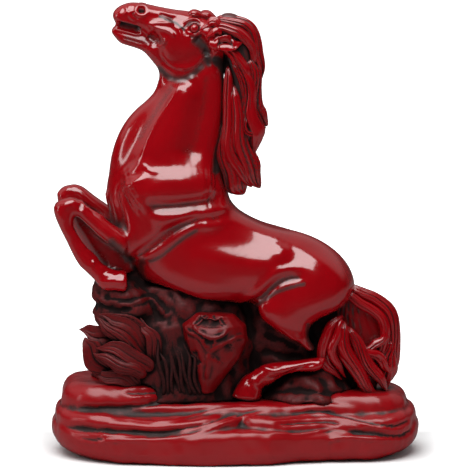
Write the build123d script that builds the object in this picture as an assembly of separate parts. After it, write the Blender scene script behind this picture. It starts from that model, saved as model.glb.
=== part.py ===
from build123d import *

import os
from math import cos, pi, radians, sin

# A rearing horse on a rocky plinth, cast in glossy red resin. Lengths are millimetres.
# The origin is the middle of the underside. +X runs from the hooves to the tail, +Y away from
# the viewer and +Z up. The horse faces -X, and its near side is its left side.

# The plinth: a felt pad, a slab, a shelf at each end, the deck, and a block at each end.
PLINTH_LENGTH = 160.8
PLINTH_DEPTH = 78.0
PLINTH_HEIGHT = 24.8
FELT_THICKNESS = 0.5
SLAB_HEIGHT = 16.0
SLAB_FOOT_RADIUS = 6.0
LEFT_SHELF_HEIGHT = 21.5
RIGHT_SHELF_HEIGHT = 21.0
LEFT_BLOCK_HEIGHT = 33.0
RIGHT_BLOCK_HEIGHT = 28.0
LEFT_BLOCK_EDGE_RADIUS = 7.5
RIGHT_BLOCK_EDGE_RADIUS = 7.0
LAYER_EDGE_RADIUS = 3.5

# How far each layer stands in from the slab's front and back, and the felt from its whole edge.
FELT_INSET = 7.0
SHELF_INSET = 3.0
DECK_INSET = 13.0
LEFT_BLOCK_INSET = 13.0
RIGHT_BLOCK_INSET = 15.0

# Each layer's length and place along the plinth, as shares of the plinth's length.
LEFT_SHELF_SHARE = 0.572
RIGHT_SHELF_SHARE = 0.535
DECK_SHARE = 0.846
LEFT_BLOCK_SHARE = 0.299
RIGHT_BLOCK_SHARE = 0.249
LEFT_SHELF_PLACE_SHARE = -0.205
RIGHT_SHELF_PLACE_SHARE = 0.225
LEFT_BLOCK_PLACE_SHARE = -0.325
RIGHT_BLOCK_PLACE_SHARE = 0.345

# The corners seen from above are rounded by these shares of a layer's shorter side.
SLAB_CORNER_SHARE = 0.46
LAYER_CORNER_SHARE = 0.42

# Each layer starts at this share of the slab's height, inside the slab, and is then cut clear.
LAYER_FOOT_SHARE = 0.6

# The horse: its height above the deck, and how wide each mass is from side to side.
HORSE_HEIGHT = 175.2
BARREL_WIDTH = 40.0
NECK_WIDTH = 35.0
NECK_MUSCLE_WIDTH = 20.0
SHOULDER_WIDTH = 20.0
HAUNCH_WIDTH = 25.0
HEAD_WIDTH = 20.0
JAW_WIDTH = 10.5
MOUTH_WEB_WIDTH = 5.0
EAR_WIDTH = 5.0
EYE_DIAMETER = 4.4
FORELEG_WIDTH = 11.0
FORE_HOOF_WIDTH = 11.5
FORE_WEB_WIDTH = 20.0
HIND_LEG_WIDTH = 11.0
HIND_HOOF_WIDTH = 12.5
MANE_WIDTH = 17.0
MANE_LOCK_WIDTH = 10.0
FORELOCK_WIDTH = 9.0
TAIL_WIDTH = 15.0
TAIL_LOCK_WIDTH = 11.0

# How far each paired mass stands from the horse's middle plane.
NECK_MUSCLE_OFFSET = 6.0
SHOULDER_OFFSET = 9.5
HAUNCH_OFFSET = 9.5
FORELEG_OFFSET = 13.5
HIND_LEG_OFFSET = 14.5
EAR_OFFSET = 7.5
EYE_OFFSET = 7.2
MANE_LOCK_OFFSET = 5.5
TAIL_LOCK_OFFSET = 6.0
TAIL_FAN_OFFSET = 10.5
FAR_FORELEG_STEP = 1.2
FAR_FORELEG_LIFT = 1.2
FAR_HIND_STEP = -2.6

# The rock and leaves that carry the horse.
SUPPORT_DEPTH = 44.0
FORE_ROCK_DEPTH = 34.0
HAUNCH_ROCK_DEPTH = 46.0
BACK_ROCK_DEPTH = 24.0
BOULDER_DEPTH = 18.0
LEAF_THICKNESS = 7.0
GRASS_THICKNESS = 5.0

# The photograph's frame. A pixel is (across, down), and the horse's middle plane is at y = 0.
VIEW_TILT = 10.0
MIDDLE_PX = 235
DECK_PX = 395
NOSE_TOP_PX = 2
MM_PER_PX = HORSE_HEIGHT * cos(radians(VIEW_TILT)) / (DECK_PX - NOSE_TOP_PX)

# How many sides the ring through each mass has.
RING_SIDES = 14

# A cut is kept if it leaves more than this share of the largest piece.
CRUMB_SHARE = 0.06

# Outlines: each mass runs through rings whose ends are these pairs of pixels, and whose
# widths are these shares of the mass's own width.
BARREL_BACK_PX = ((200, 176), (223, 190), (242, 211), (267, 225), (293, 229), (319, 238), (340, 253),
                  (353, 271), (357, 287))
BARREL_BELLY_PX = ((121, 236), (130, 268), (151, 293), (188, 311), (226, 307), (258, 302), (286, 312),
                   (318, 316), (343, 306))
BARREL_WIDTH_SHARES = (0.62, 0.84, 0.95, 1.0, 0.98, 0.95, 0.88, 0.66, 0.32)

NECK_FRONT_PX = ((157, 62), (158, 77), (151, 93), (135, 107), (120, 125), (111, 148), (107, 170),
                 (104, 194), (112, 226))
NECK_BACK_PX = ((218, 38), (226, 62), (229, 86), (229, 110), (228, 135), (226, 164), (228, 192),
                (228, 214), (200, 236))
NECK_WIDTH_SHARES = (0.44, 0.50, 0.55, 0.62, 0.70, 0.82, 0.94, 1.0, 0.82)

# The long muscle down each side of the neck, whose front edge is the neck's bright crest.
NECK_MUSCLE_FRONT_PX = ((176, 83), (167, 101), (155, 118), (145, 134), (138, 150), (134, 164))
NECK_MUSCLE_BACK_PX = ((204, 86), (202, 103), (197, 121), (191, 138), (184, 153), (176, 166))
NECK_MUSCLE_WIDTH_SHARES = (0.52, 0.62, 0.76, 0.90, 1.01, 1.06)

SHOULDER_FRONT_PX = ((152, 168), (126, 184), (121, 208), (123, 232), (124, 249), (127, 257))
SHOULDER_BACK_PX = ((208, 170), (226, 196), (214, 219), (172, 233), (144, 252), (135, 258))
SHOULDER_WIDTH_SHARES = (0.42, 0.92, 1.0, 0.86, 0.62, 0.36)

HAUNCH_FRONT_PX = ((300, 258), (281, 271), (266, 284), (258, 300), (261, 316), (277, 330), (297, 342),
                   (309, 352))
HAUNCH_BACK_PX = ((330, 256), (346, 270), (353, 284), (350, 300), (335, 313), (309, 321), (307, 334),
                  (318, 348))
HAUNCH_WIDTH_SHARES = (0.35, 0.72, 0.94, 1.0, 0.88, 0.60, 0.44, 0.36)

HEAD_TOP_PX = ((214, 25), (203, 14), (189, 11), (173, 9), (157, 6), (144, 3), (130, 2), (119, 6),
               (113, 12))
HEAD_BOTTOM_PX = ((208, 52), (203, 63), (186, 72), (167, 70), (153, 44), (144, 32), (130, 27), (118, 24),
                  (112, 19))
HEAD_WIDTH_SHARES = (0.62, 0.86, 1.0, 0.92, 0.66, 0.60, 0.58, 0.50, 0.34)

JAW_TOP_PX = ((168, 44), (157, 40), (148, 37), (137, 35), (124, 31), (112, 27))
JAW_BOTTOM_PX = ((157, 68), (149, 58), (143, 51), (131, 47), (120, 44), (110, 32))
MOUTH_WEB_TOP_PX = ((150, 32), (138, 27), (124, 24), (117, 22))
MOUTH_WEB_BOTTOM_PX = ((148, 42), (136, 38), (122, 34), (114, 31))
MOUTH_WEB_WIDTH_SHARES = (1.0, 1.0, 0.9, 0.7)
JAW_WIDTH_SHARES = (1.0, 1.0, 0.96, 0.86, 0.80, 0.48)

EAR_TOP_PX = ((209, 40), (216, 38), (226, 36), (235, 38), (241, 42))
EAR_BOTTOM_PX = ((209, 46), (216, 49), (226, 52), (235, 50), (242, 45))
EAR_WIDTH_SHARES = (0.8, 1.0, 1.0, 0.8, 0.45)

EYE_PX = (194, 29)

FORELOCK_TOP_PX = ((188, 14), (193, 8), (200, 13), (207, 10), (214, 16), (224, 20))
FORELOCK_BOTTOM_PX = ((191, 18), (197, 20), (202, 24), (209, 26), (214, 32), (222, 36))
FORELOCK_WIDTH_SHARES = (0.4, 0.8, 0.8, 1.0, 1.0, 0.8)

FOREARM_TOP_PX = ((128, 232), (117, 227), (104, 217), (91, 208), (80, 199), (70, 196))
FOREARM_BOTTOM_PX = ((126, 258), (113, 248), (99, 237), (86, 224), (76, 215), (66, 214))
FOREARM_WIDTH_SHARES = (1.1, 1.08, 1.0, 0.88, 0.84, 0.76)

CANNON_FRONT_PX = ((60, 199), (53, 206), (54, 215), (60, 229), (67, 243), (73, 256), (79, 266), (88, 274),
                   (98, 284))
CANNON_BACK_PX = ((70, 198), (76, 204), (75, 215), (74, 226), (82, 240), (91, 250), (98, 258), (104, 264),
                  (110, 270))
CANNON_WIDTH_SHARES = (0.55, 0.86, 0.90, 0.74, 0.66, 0.68, 0.82, 0.80, 0.80)

FORE_HOOF_FRONT_PX = ((96, 283), (103, 291), (115, 292), (128, 294))
FORE_HOOF_BACK_PX = ((107, 266), (113, 269), (120, 270), (127, 270))
FORE_HOOF_WIDTH_SHARES = (0.74, 0.92, 0.98, 1.0)

FORE_WEB_FRONT_PX = ((66, 210), (71, 226), (80, 242), (90, 256), (99, 270))
FORE_WEB_BACK_PX = ((84, 206), (104, 222), (124, 238), (134, 254), (136, 272))
FORE_WEB_WIDTH_SHARES = (0.8, 1.0, 1.0, 1.0, 0.9)

HIND_CANNON_TOP_PX = ((329, 352), (319, 357), (305, 359), (288, 361), (273, 362), (263, 364), (254, 371))
HIND_CANNON_BOTTOM_PX = ((327, 366), (316, 372), (300, 371), (286, 374), (275, 381), (267, 386), (257, 387))
HIND_CANNON_WIDTH_SHARES = (0.7, 0.95, 0.86, 0.82, 0.92, 0.90, 0.85)

HIND_HOOF_FRONT_PX = ((253, 371), (244, 375), (235, 385), (228, 396))
HIND_HOOF_BACK_PX = ((262, 384), (262, 390), (262, 396), (262, 402))
HIND_HOOF_WIDTH_SHARES = (0.66, 0.82, 0.95, 1.0)

MANE_FRONT_PX = ((205, 22), (214, 36), (222, 60), (227, 90), (227, 120), (224, 148), (221, 172),
                 (228, 190))
MANE_BACK_PX = ((222, 15), (246, 24), (258, 62), (257, 95), (256, 125), (252, 150), (250, 172),
                (246, 190))
MANE_WIDTH_SHARES = (0.6, 0.9, 1.0, 1.0, 0.96, 0.9, 0.8, 0.55)

# Each lock of the mane is its two edges, from the root to the tip.
CROWN_LOCK_FRONT_PX = ((214, 26), (228, 27), (240, 36), (249, 52), (256, 68), (258, 80))
CROWN_LOCK_BACK_PX = ((217, 14), (236, 16), (252, 23), (261, 38), (267, 62), (263, 80))
UPPER_LOCK_FRONT_PX = ((228, 40), (238, 56), (244, 76), (250, 96), (254, 112), (262, 126))
UPPER_LOCK_BACK_PX = ((240, 36), (252, 52), (262, 74), (264, 92), (266, 112), (269, 126))
MIDDLE_LOCK_FRONT_PX = ((228, 56), (236, 80), (240, 104), (246, 122), (252, 136), (252, 148))
MIDDLE_LOCK_BACK_PX = ((238, 54), (250, 76), (257, 100), (263, 120), (265, 136), (260, 149))
LOWER_LOCK_FRONT_PX = ((226, 96), (223, 120), (224, 142), (231, 162), (243, 178), (257, 188))
LOWER_LOCK_BACK_PX = ((240, 96), (241, 120), (245, 140), (252, 156), (259, 172), (262, 182))
WITHERS_LOCK_FRONT_PX = ((223, 130), (219, 150), (219, 168), (224, 184), (230, 195))
WITHERS_LOCK_BACK_PX = ((232, 132), (232, 152), (237, 170), (246, 183), (252, 191))
LOCK_WIDTH_SHARES = (0.5, 0.9, 1.0, 0.95, 0.75, 0.35)
WITHERS_WIDTH_SHARES = (0.5, 0.9, 1.0, 0.85, 0.5)
HEEL_WIDTH_SHARES = (0.9, 1.0, 0.95, 0.7, 0.4)

TAIL_OUTER_PX = ((347, 281), (359, 288), (374, 295), (389, 306), (400, 321), (403, 340), (401, 360),
                 (392, 384))
TAIL_INNER_PX = ((342, 299), (354, 304), (365, 312), (375, 323), (380, 335), (380, 347), (376, 362),
                 (370, 378))
TAIL_WIDTH_SHARES = (0.5, 0.8, 0.95, 1.0, 1.0, 1.0, 0.95, 0.7)
TAIL_WEB_TOP_PX = ((340, 306), (350, 298), (364, 304), (378, 318), (386, 334))
TAIL_WEB_BOTTOM_PX = ((338, 350), (350, 362), (364, 368), (378, 368), (386, 360))
TAIL_WEB_WIDTH_SHARES = (0.5, 0.6, 0.6, 0.6, 0.5)
CURL_LOCK_FRONT_PX = ((338, 319), (325, 331), (318, 345), (320, 360), (329, 371), (339, 380))
CURL_LOCK_BACK_PX = ((345, 322), (336, 338), (331, 350), (333, 360), (338, 369), (345, 378))
FAN_LOCK_FRONT_PX = ((338, 322), (332, 345), (338, 365), (350, 382), (364, 394), (376, 402))
FAN_LOCK_BACK_PX = ((348, 330), (350, 348), (358, 364), (367, 378), (376, 389), (384, 397))
SWEEP_LOCK_FRONT_PX = ((345, 336), (350, 352), (358, 368), (368, 382), (378, 392), (384, 396))
SWEEP_LOCK_BACK_PX = ((354, 334), (366, 344), (376, 358), (384, 372), (389, 384), (388, 392))
HEEL_LOCK_FRONT_PX = ((372, 346), (366, 358), (364, 372), (370, 386), (380, 398))
HEEL_LOCK_BACK_PX = ((392, 344), (396, 356), (396, 370), (392, 382), (389, 390))

SUPPORT_LEFT_PX = ((84, 402), (90, 382), (97, 358), (106, 330), (112, 306), (128, 284))
SUPPORT_RIGHT_PX = ((268, 402), (260, 382), (256, 358), (252, 330), (246, 306), (230, 284))
SUPPORT_WIDTH_SHARES = (1.0, 0.97, 0.90, 0.80, 0.68, 0.5)

FORE_ROCK_LEFT_PX = ((97, 322), (93, 312), (95, 302), (89, 293), (91, 286), (97, 278))
FORE_ROCK_RIGHT_PX = ((148, 326), (156, 314), (164, 304), (160, 294), (150, 286), (136, 278))
FORE_ROCK_WIDTH_SHARES = (0.8, 0.95, 1.0, 0.95, 0.85, 0.6)

HAUNCH_ROCK_LEFT_PX = ((252, 404), (258, 394), (266, 384), (276, 374), (290, 366))
HAUNCH_ROCK_RIGHT_PX = ((368, 404), (362, 394), (352, 384), (344, 370), (334, 356))
HAUNCH_ROCK_WIDTH_SHARES = (1.0, 0.95, 0.82, 0.66, 0.46)

BACK_ROCK_LEFT_PX = ((238, 404), (238, 380), (238, 350), (236, 320), (236, 296))
BACK_ROCK_RIGHT_PX = ((382, 404), (364, 386), (352, 352), (346, 322), (336, 298))
BACK_ROCK_WIDTH_SHARES = (1.0, 0.95, 0.85, 0.8, 0.7)

BOULDER_LEFT_PX = ((200, 392), (196, 378), (190, 358), (184, 338), (182, 324), (196, 313))
BOULDER_RIGHT_PX = ((214, 392), (224, 378), (240, 358), (248, 340), (246, 325), (234, 314))
BOULDER_WIDTH_SHARES = (0.5, 0.75, 0.95, 1.0, 0.95, 0.7)

TOP_LEAF_TOP_PX = ((150, 352), (140, 335), (125, 320), (110, 313), (100, 312))
TOP_LEAF_BOTTOM_PX = ((140, 356), (126, 345), (113, 335), (102, 325), (97, 318))
SIDE_LEAF_TOP_PX = ((122, 330), (110, 324), (96, 322), (85, 326), (80, 329))
SIDE_LEAF_BOTTOM_PX = ((120, 344), (106, 345), (94, 344), (85, 338), (81, 333))
LOW_LEAF_TOP_PX = ((152, 366), (138, 352), (122, 345), (107, 345), (97, 350))
LOW_LEAF_BOTTOM_PX = ((144, 374), (130, 370), (114, 366), (102, 361), (95, 354))
FOOT_LEAF_TOP_PX = ((112, 358), (101, 349), (91, 343), (84, 344), (80, 350))
FOOT_LEAF_BOTTOM_PX = ((106, 374), (97, 373), (89, 370), (82, 364), (78, 357))
UPRIGHT_LEAF_LEFT_PX = ((148, 368), (144, 352), (140, 338), (138, 326), (141, 318))
UPRIGHT_LEAF_RIGHT_PX = ((162, 366), (158, 350), (155, 336), (151, 324), (145, 318))
LEAF_WIDTH_SHARES = (0.8, 1.0, 1.0, 0.8, 0.4)

GRASS_TIP_PX = ((158, 330), (165, 326), (171, 330), (178, 334), (184, 340))
GRASS_WAIST_PX = ((161, 362), (168, 360), (176, 360), (184, 362), (191, 366))
GRASS_FOOT_PX = ((166, 393), (174, 396), (184, 397), (192, 396), (199, 393))
GRASS_HALF_BREADTH_PX = 3
GRASS_WIDTH_SHARES = (0.4, 0.9, 1.0)

# Where each leaf and rock stands in front of the middle plane, as a share of the support's depth.
TOP_LEAF_OFFSET_SHARE = -0.40
SIDE_LEAF_OFFSET_SHARE = -0.34
LOW_LEAF_OFFSET_SHARE = -0.50
FOOT_LEAF_OFFSET_SHARE = -0.40
UPRIGHT_LEAF_OFFSET_SHARE = -0.42
GRASS_OFFSET_SHARE = -0.48
BOULDER_OFFSET_SHARE = -0.40
FORE_ROCK_OFFSET_SHARE = -0.04
BACK_ROCK_OFFSET = 3.0
NEAR_SIDE, FAR_SIDE = -1, 1


def spot(pixel, depth):
    """The place in the part's frame of a pixel of the photograph, at a depth along Y."""
    across, down = pixel
    tilt = radians(VIEW_TILT)
    seen_height = (DECK_PX - down) * MM_PER_PX
    rise = (seen_height - depth * sin(tilt)) / cos(tilt)
    return Vector((across - MIDDLE_PX) * MM_PER_PX, depth, PLINTH_HEIGHT + rise)


def ring(one_px, other_px, width, offset):
    """The corners of a flat ring whose ends are a pair of pixels on a form's two edges."""
    start, end = spot(one_px, offset), spot(other_px, offset)
    middle = (start + end) / 2
    turns = [2 * pi * side / RING_SIDES for side in range(RING_SIDES)]
    return [middle + (end - middle) * cos(turn) + Vector(0, width * sin(turn) / 2, 0) for turn in turns]


def form(one_edge_px, other_edge_px, width, width_shares, offset=0.0):
    """A swelling solid through one ring for each pair of pixels on its two edges."""
    rings = [ring(one, other, width * share, offset)
             for one, other, share in zip(one_edge_px, other_edge_px, width_shares)]
    outlines = [rings[0], rings[-1]]
    for lower, upper in zip(rings, rings[1:]):
        for side in range(RING_SIDES):
            follower = (side + 1) % RING_SIDES
            outlines.append((lower[side], lower[follower], upper[follower]))
            outlines.append((lower[side], upper[follower], upper[side]))
    faces = [Face(Wire.make_polygon(outline)) for outline in outlines]
    solid = Solid(Shell(faces))
    return solid if solid.volume > 0 else Solid(Shell([-face for face in faces]))


def plate(length, depth, corner_share, foot, top):
    """A flat plate whose corners are rounded by a share of its shorter side."""
    outline = RectangleRounded(length, depth, corner_share * min(length, depth))
    return extrude(Pos(0, 0, foot) * outline, top - foot).solid()


def layer(length_share, inset, top, place_share=0.0, edge_radius=LAYER_EDGE_RADIUS):
    """A rounded layer of rock on the slab, sized and placed by shares of the plinth's length."""
    block = plate(length_share * PLINTH_LENGTH, PLINTH_DEPTH - 2 * inset, LAYER_CORNER_SHARE,
                  LAYER_FOOT_SHARE * SLAB_HEIGHT, top)
    rounded = fillet(block.edges().group_by(Axis.Z)[-1], edge_radius).solid()
    return Pos(place_share * PLINTH_LENGTH, 0, 0) * rounded


def plinth_parts():
    """The felt, the slab and the layers of rock that it carries."""
    slab = plate(PLINTH_LENGTH, PLINTH_DEPTH, SLAB_CORNER_SHARE, FELT_THICKNESS, SLAB_HEIGHT)
    slab = fillet(slab.edges().group_by(Axis.Z)[-1], LAYER_EDGE_RADIUS)
    return {
        "felt_pad": plate(PLINTH_LENGTH - 2 * FELT_INSET, PLINTH_DEPTH - 2 * FELT_INSET,
                          SLAB_CORNER_SHARE, 0, FELT_THICKNESS),
        "plinth_slab": fillet(slab.edges().group_by(Axis.Z)[0], SLAB_FOOT_RADIUS).solid(),
        "plinth_shelf_left": layer(LEFT_SHELF_SHARE, SHELF_INSET, LEFT_SHELF_HEIGHT,
                                   LEFT_SHELF_PLACE_SHARE),
        "plinth_shelf_right": layer(RIGHT_SHELF_SHARE, SHELF_INSET, RIGHT_SHELF_HEIGHT,
                                    RIGHT_SHELF_PLACE_SHARE),
        "plinth_deck": layer(DECK_SHARE, DECK_INSET, PLINTH_HEIGHT),
        "plinth_block_left": layer(LEFT_BLOCK_SHARE, LEFT_BLOCK_INSET, LEFT_BLOCK_HEIGHT,
                                   LEFT_BLOCK_PLACE_SHARE, LEFT_BLOCK_EDGE_RADIUS),
        "plinth_block_right": layer(RIGHT_BLOCK_SHARE, RIGHT_BLOCK_INSET, RIGHT_BLOCK_HEIGHT,
                                    RIGHT_BLOCK_PLACE_SHARE, RIGHT_BLOCK_EDGE_RADIUS),
    }


def pair(name, near_shape, far_step=0.0, far_lift=0.0):
    """A piece and its twin on the far side, which may stand further along X and higher."""
    far_shape = Pos(far_step, 0, far_lift) * mirror(near_shape, Plane.XZ).solid()
    return {f"{name}_near": near_shape, f"{name}_far": far_shape}


def torso_parts():
    """The barrel, the neck with its muscles, the shoulders and the haunches."""
    shoulder = form(SHOULDER_FRONT_PX, SHOULDER_BACK_PX, SHOULDER_WIDTH, SHOULDER_WIDTH_SHARES,
                    NEAR_SIDE * SHOULDER_OFFSET)
    haunch = form(HAUNCH_FRONT_PX, HAUNCH_BACK_PX, HAUNCH_WIDTH, HAUNCH_WIDTH_SHARES,
                  NEAR_SIDE * HAUNCH_OFFSET)
    muscle = form(NECK_MUSCLE_FRONT_PX, NECK_MUSCLE_BACK_PX, NECK_MUSCLE_WIDTH,
                  NECK_MUSCLE_WIDTH_SHARES, NEAR_SIDE * NECK_MUSCLE_OFFSET)
    return {
        "barrel": form(BARREL_BACK_PX, BARREL_BELLY_PX, BARREL_WIDTH, BARREL_WIDTH_SHARES),
        "neck": form(NECK_FRONT_PX, NECK_BACK_PX, NECK_WIDTH, NECK_WIDTH_SHARES),
        **pair("neck_muscle", muscle),
        **pair("haunch", haunch),
        **pair("shoulder", shoulder),
    }


def head_parts():
    """The head with its jaw, ears, eyes and forelock."""
    ear = form(EAR_TOP_PX, EAR_BOTTOM_PX, EAR_WIDTH, EAR_WIDTH_SHARES, NEAR_SIDE * EAR_OFFSET)
    eye = Pos(spot(EYE_PX, NEAR_SIDE * EYE_OFFSET)) * Sphere(EYE_DIAMETER / 2)
    return {
        "head": form(HEAD_TOP_PX, HEAD_BOTTOM_PX, HEAD_WIDTH, HEAD_WIDTH_SHARES),
        "lower_jaw": form(JAW_TOP_PX, JAW_BOTTOM_PX, JAW_WIDTH, JAW_WIDTH_SHARES),
        "mouth_web": form(MOUTH_WEB_TOP_PX, MOUTH_WEB_BOTTOM_PX, MOUTH_WEB_WIDTH, MOUTH_WEB_WIDTH_SHARES),
        "forelock": form(FORELOCK_TOP_PX, FORELOCK_BOTTOM_PX, FORELOCK_WIDTH, FORELOCK_WIDTH_SHARES),
        **pair("ear", ear),
        **pair("eye", eye),
    }


def leg_parts():
    """The four legs, each with its hoof, and the web of resin between the forelegs."""
    fore, hind = NEAR_SIDE * FORELEG_OFFSET, NEAR_SIDE * HIND_LEG_OFFSET
    forearm = form(FOREARM_TOP_PX, FOREARM_BOTTOM_PX, FORELEG_WIDTH, FOREARM_WIDTH_SHARES, fore)
    fore_cannon = form(CANNON_FRONT_PX, CANNON_BACK_PX, FORELEG_WIDTH, CANNON_WIDTH_SHARES, fore)
    fore_hoof = form(FORE_HOOF_FRONT_PX, FORE_HOOF_BACK_PX, FORE_HOOF_WIDTH, FORE_HOOF_WIDTH_SHARES, fore)
    hind_cannon = form(HIND_CANNON_TOP_PX, HIND_CANNON_BOTTOM_PX, HIND_LEG_WIDTH,
                       HIND_CANNON_WIDTH_SHARES, hind)
    hind_hoof = form(HIND_HOOF_FRONT_PX, HIND_HOOF_BACK_PX, HIND_HOOF_WIDTH, HIND_HOOF_WIDTH_SHARES, hind)
    return {
        **pair("forearm", forearm, FAR_FORELEG_STEP, FAR_FORELEG_LIFT),
        **pair("fore_cannon", fore_cannon, FAR_FORELEG_STEP, FAR_FORELEG_LIFT),
        **pair("fore_hoof", fore_hoof, FAR_FORELEG_STEP, FAR_FORELEG_LIFT),
        **pair("hind_cannon", hind_cannon, FAR_HIND_STEP),
        **pair("hind_hoof", hind_hoof, FAR_HIND_STEP),
        "fore_web": form(FORE_WEB_FRONT_PX, FORE_WEB_BACK_PX, FORE_WEB_WIDTH, FORE_WEB_WIDTH_SHARES),
    }


def hair_parts():
    """The mane with its locks, and the tail with its locks."""
    near, far = NEAR_SIDE * MANE_LOCK_OFFSET, FAR_SIDE * MANE_LOCK_OFFSET
    return {
        "mane": form(MANE_FRONT_PX, MANE_BACK_PX, MANE_WIDTH, MANE_WIDTH_SHARES),
        "mane_lock_crown": form(CROWN_LOCK_FRONT_PX, CROWN_LOCK_BACK_PX, MANE_WIDTH, LOCK_WIDTH_SHARES),
        "mane_lock_upper": form(UPPER_LOCK_FRONT_PX, UPPER_LOCK_BACK_PX, MANE_LOCK_WIDTH,
                                LOCK_WIDTH_SHARES, near),
        "mane_lock_middle": form(MIDDLE_LOCK_FRONT_PX, MIDDLE_LOCK_BACK_PX, MANE_LOCK_WIDTH,
                                 LOCK_WIDTH_SHARES, far),
        "mane_lock_lower": form(LOWER_LOCK_FRONT_PX, LOWER_LOCK_BACK_PX, MANE_LOCK_WIDTH,
                                LOCK_WIDTH_SHARES, near),
        "mane_lock_withers": form(WITHERS_LOCK_FRONT_PX, WITHERS_LOCK_BACK_PX, MANE_LOCK_WIDTH,
                                  WITHERS_WIDTH_SHARES, far),
        "tail_arch": form(TAIL_OUTER_PX, TAIL_INNER_PX, TAIL_WIDTH, TAIL_WIDTH_SHARES),
        "tail_web": form(TAIL_WEB_TOP_PX, TAIL_WEB_BOTTOM_PX, TAIL_LOCK_WIDTH, TAIL_WEB_WIDTH_SHARES),
        "tail_lock_curl": form(CURL_LOCK_FRONT_PX, CURL_LOCK_BACK_PX, TAIL_LOCK_WIDTH, LOCK_WIDTH_SHARES,
                               NEAR_SIDE * TAIL_FAN_OFFSET),
        "tail_lock_heel": form(HEEL_LOCK_FRONT_PX, HEEL_LOCK_BACK_PX, TAIL_WIDTH, HEEL_WIDTH_SHARES),
        "tail_lock_sweep": form(SWEEP_LOCK_FRONT_PX, SWEEP_LOCK_BACK_PX, TAIL_LOCK_WIDTH,
                                LOCK_WIDTH_SHARES, NEAR_SIDE * TAIL_LOCK_OFFSET),
        "tail_lock_fan": form(FAN_LOCK_FRONT_PX, FAN_LOCK_BACK_PX, TAIL_LOCK_WIDTH, LOCK_WIDTH_SHARES,
                              NEAR_SIDE * TAIL_FAN_OFFSET),
    }


def rock_parts():
    """The rock under the horse, and the boulder in front of it."""
    return {
        "support_rock": form(SUPPORT_LEFT_PX, SUPPORT_RIGHT_PX, SUPPORT_DEPTH, SUPPORT_WIDTH_SHARES),
        "fore_rock": form(FORE_ROCK_LEFT_PX, FORE_ROCK_RIGHT_PX, FORE_ROCK_DEPTH, FORE_ROCK_WIDTH_SHARES,
                          FORE_ROCK_OFFSET_SHARE * SUPPORT_DEPTH),
        "haunch_rock": form(HAUNCH_ROCK_LEFT_PX, HAUNCH_ROCK_RIGHT_PX, HAUNCH_ROCK_DEPTH,
                            HAUNCH_ROCK_WIDTH_SHARES),
        "back_rock": form(BACK_ROCK_LEFT_PX, BACK_ROCK_RIGHT_PX, BACK_ROCK_DEPTH, BACK_ROCK_WIDTH_SHARES,
                          FAR_SIDE * BACK_ROCK_OFFSET),
        "boulder": form(BOULDER_LEFT_PX, BOULDER_RIGHT_PX, BOULDER_DEPTH, BOULDER_WIDTH_SHARES,
                        BOULDER_OFFSET_SHARE * SUPPORT_DEPTH),
    }


def leaf(one_edge_px, other_edge_px, offset_share):
    """One blade of the leaf clump, in front of the supporting rock."""
    return form(one_edge_px, other_edge_px, LEAF_THICKNESS, LEAF_WIDTH_SHARES,
                offset_share * SUPPORT_DEPTH)


def plant_parts():
    """The leaf clump and the grass blades."""
    blades = []
    for tip, waist, foot in zip(GRASS_TIP_PX, GRASS_WAIST_PX, GRASS_FOOT_PX):
        middle = (tip, waist, foot)
        left = [(across - GRASS_HALF_BREADTH_PX, down) for across, down in middle]
        right = [(across + GRASS_HALF_BREADTH_PX, down) for across, down in middle]
        blades.append(form(left, right, GRASS_THICKNESS, GRASS_WIDTH_SHARES,
                           GRASS_OFFSET_SHARE * SUPPORT_DEPTH))
    return {
        "leaf_top": leaf(TOP_LEAF_TOP_PX, TOP_LEAF_BOTTOM_PX, TOP_LEAF_OFFSET_SHARE),
        "leaf_side": leaf(SIDE_LEAF_TOP_PX, SIDE_LEAF_BOTTOM_PX, SIDE_LEAF_OFFSET_SHARE),
        "leaf_low": leaf(LOW_LEAF_TOP_PX, LOW_LEAF_BOTTOM_PX, LOW_LEAF_OFFSET_SHARE),
        "leaf_foot": leaf(FOOT_LEAF_TOP_PX, FOOT_LEAF_BOTTOM_PX, FOOT_LEAF_OFFSET_SHARE),
        "leaf_upright": leaf(UPRIGHT_LEAF_LEFT_PX, UPRIGHT_LEAF_RIGHT_PX, UPRIGHT_LEAF_OFFSET_SHARE),
        "grass_blades": Compound(children=blades),
    }


def boxes_meet(a, b):
    """Whether two bounding boxes overlap."""
    return all((a.min.X < b.max.X, b.min.X < a.max.X, a.min.Y < b.max.Y, b.min.Y < a.max.Y,
                a.min.Z < b.max.Z, b.min.Z < a.max.Z))


def seated(shape, carriers):
    """The shape with every carrier's space cut out of it, without the crumbs that a cut leaves."""
    box = shape.bounding_box(optimal=False)
    met = [carrier for carrier, carrier_box in carriers if boxes_meet(box, carrier_box)]
    kept = []
    for solid in shape.solids():
        pieces = solid.cut(*met).solids() if met else [solid]
        largest = max(piece.volume for piece in pieces)
        kept += [piece for piece in pieces if piece.volume > CRUMB_SHARE * largest]
    return kept[0] if len(kept) == 1 else Compound(children=kept)


def main():
    """Builds every mass, seats each on those before it, and writes one STEP file for each."""
    os.makedirs("parts", exist_ok=True)
    shapes = {**plinth_parts(), **rock_parts(), **torso_parts(), **head_parts(), **leg_parts(),
              **hair_parts(), **plant_parts()}
    carriers = []
    for name, shape in shapes.items():
        piece = seated(shape, carriers)
        carriers.append((piece, piece.bounding_box(optimal=False)))
        export_step(piece, f"parts/{name}.step")


main()
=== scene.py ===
"""The looks of a rearing horse figurine, cast in glossy red resin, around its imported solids.

The solids give the masses. Each skin fuses some of them into one smooth cast surface, and is then
worked over with strokes, as a sculptor works clay: swellings, creases, crests and steps that follow
lines read off the photograph. The hair, leaves and grass are ribbed locks that taper to a tip.
"""
import logging
import math
from dataclasses import dataclass
from enum import Enum
from typing import ClassVar, Iterable, Sequence

import bmesh
import bpy
import numpy as np
from mathutils import Matrix, Vector
from mathutils.bvhtree import BVHTree


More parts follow.
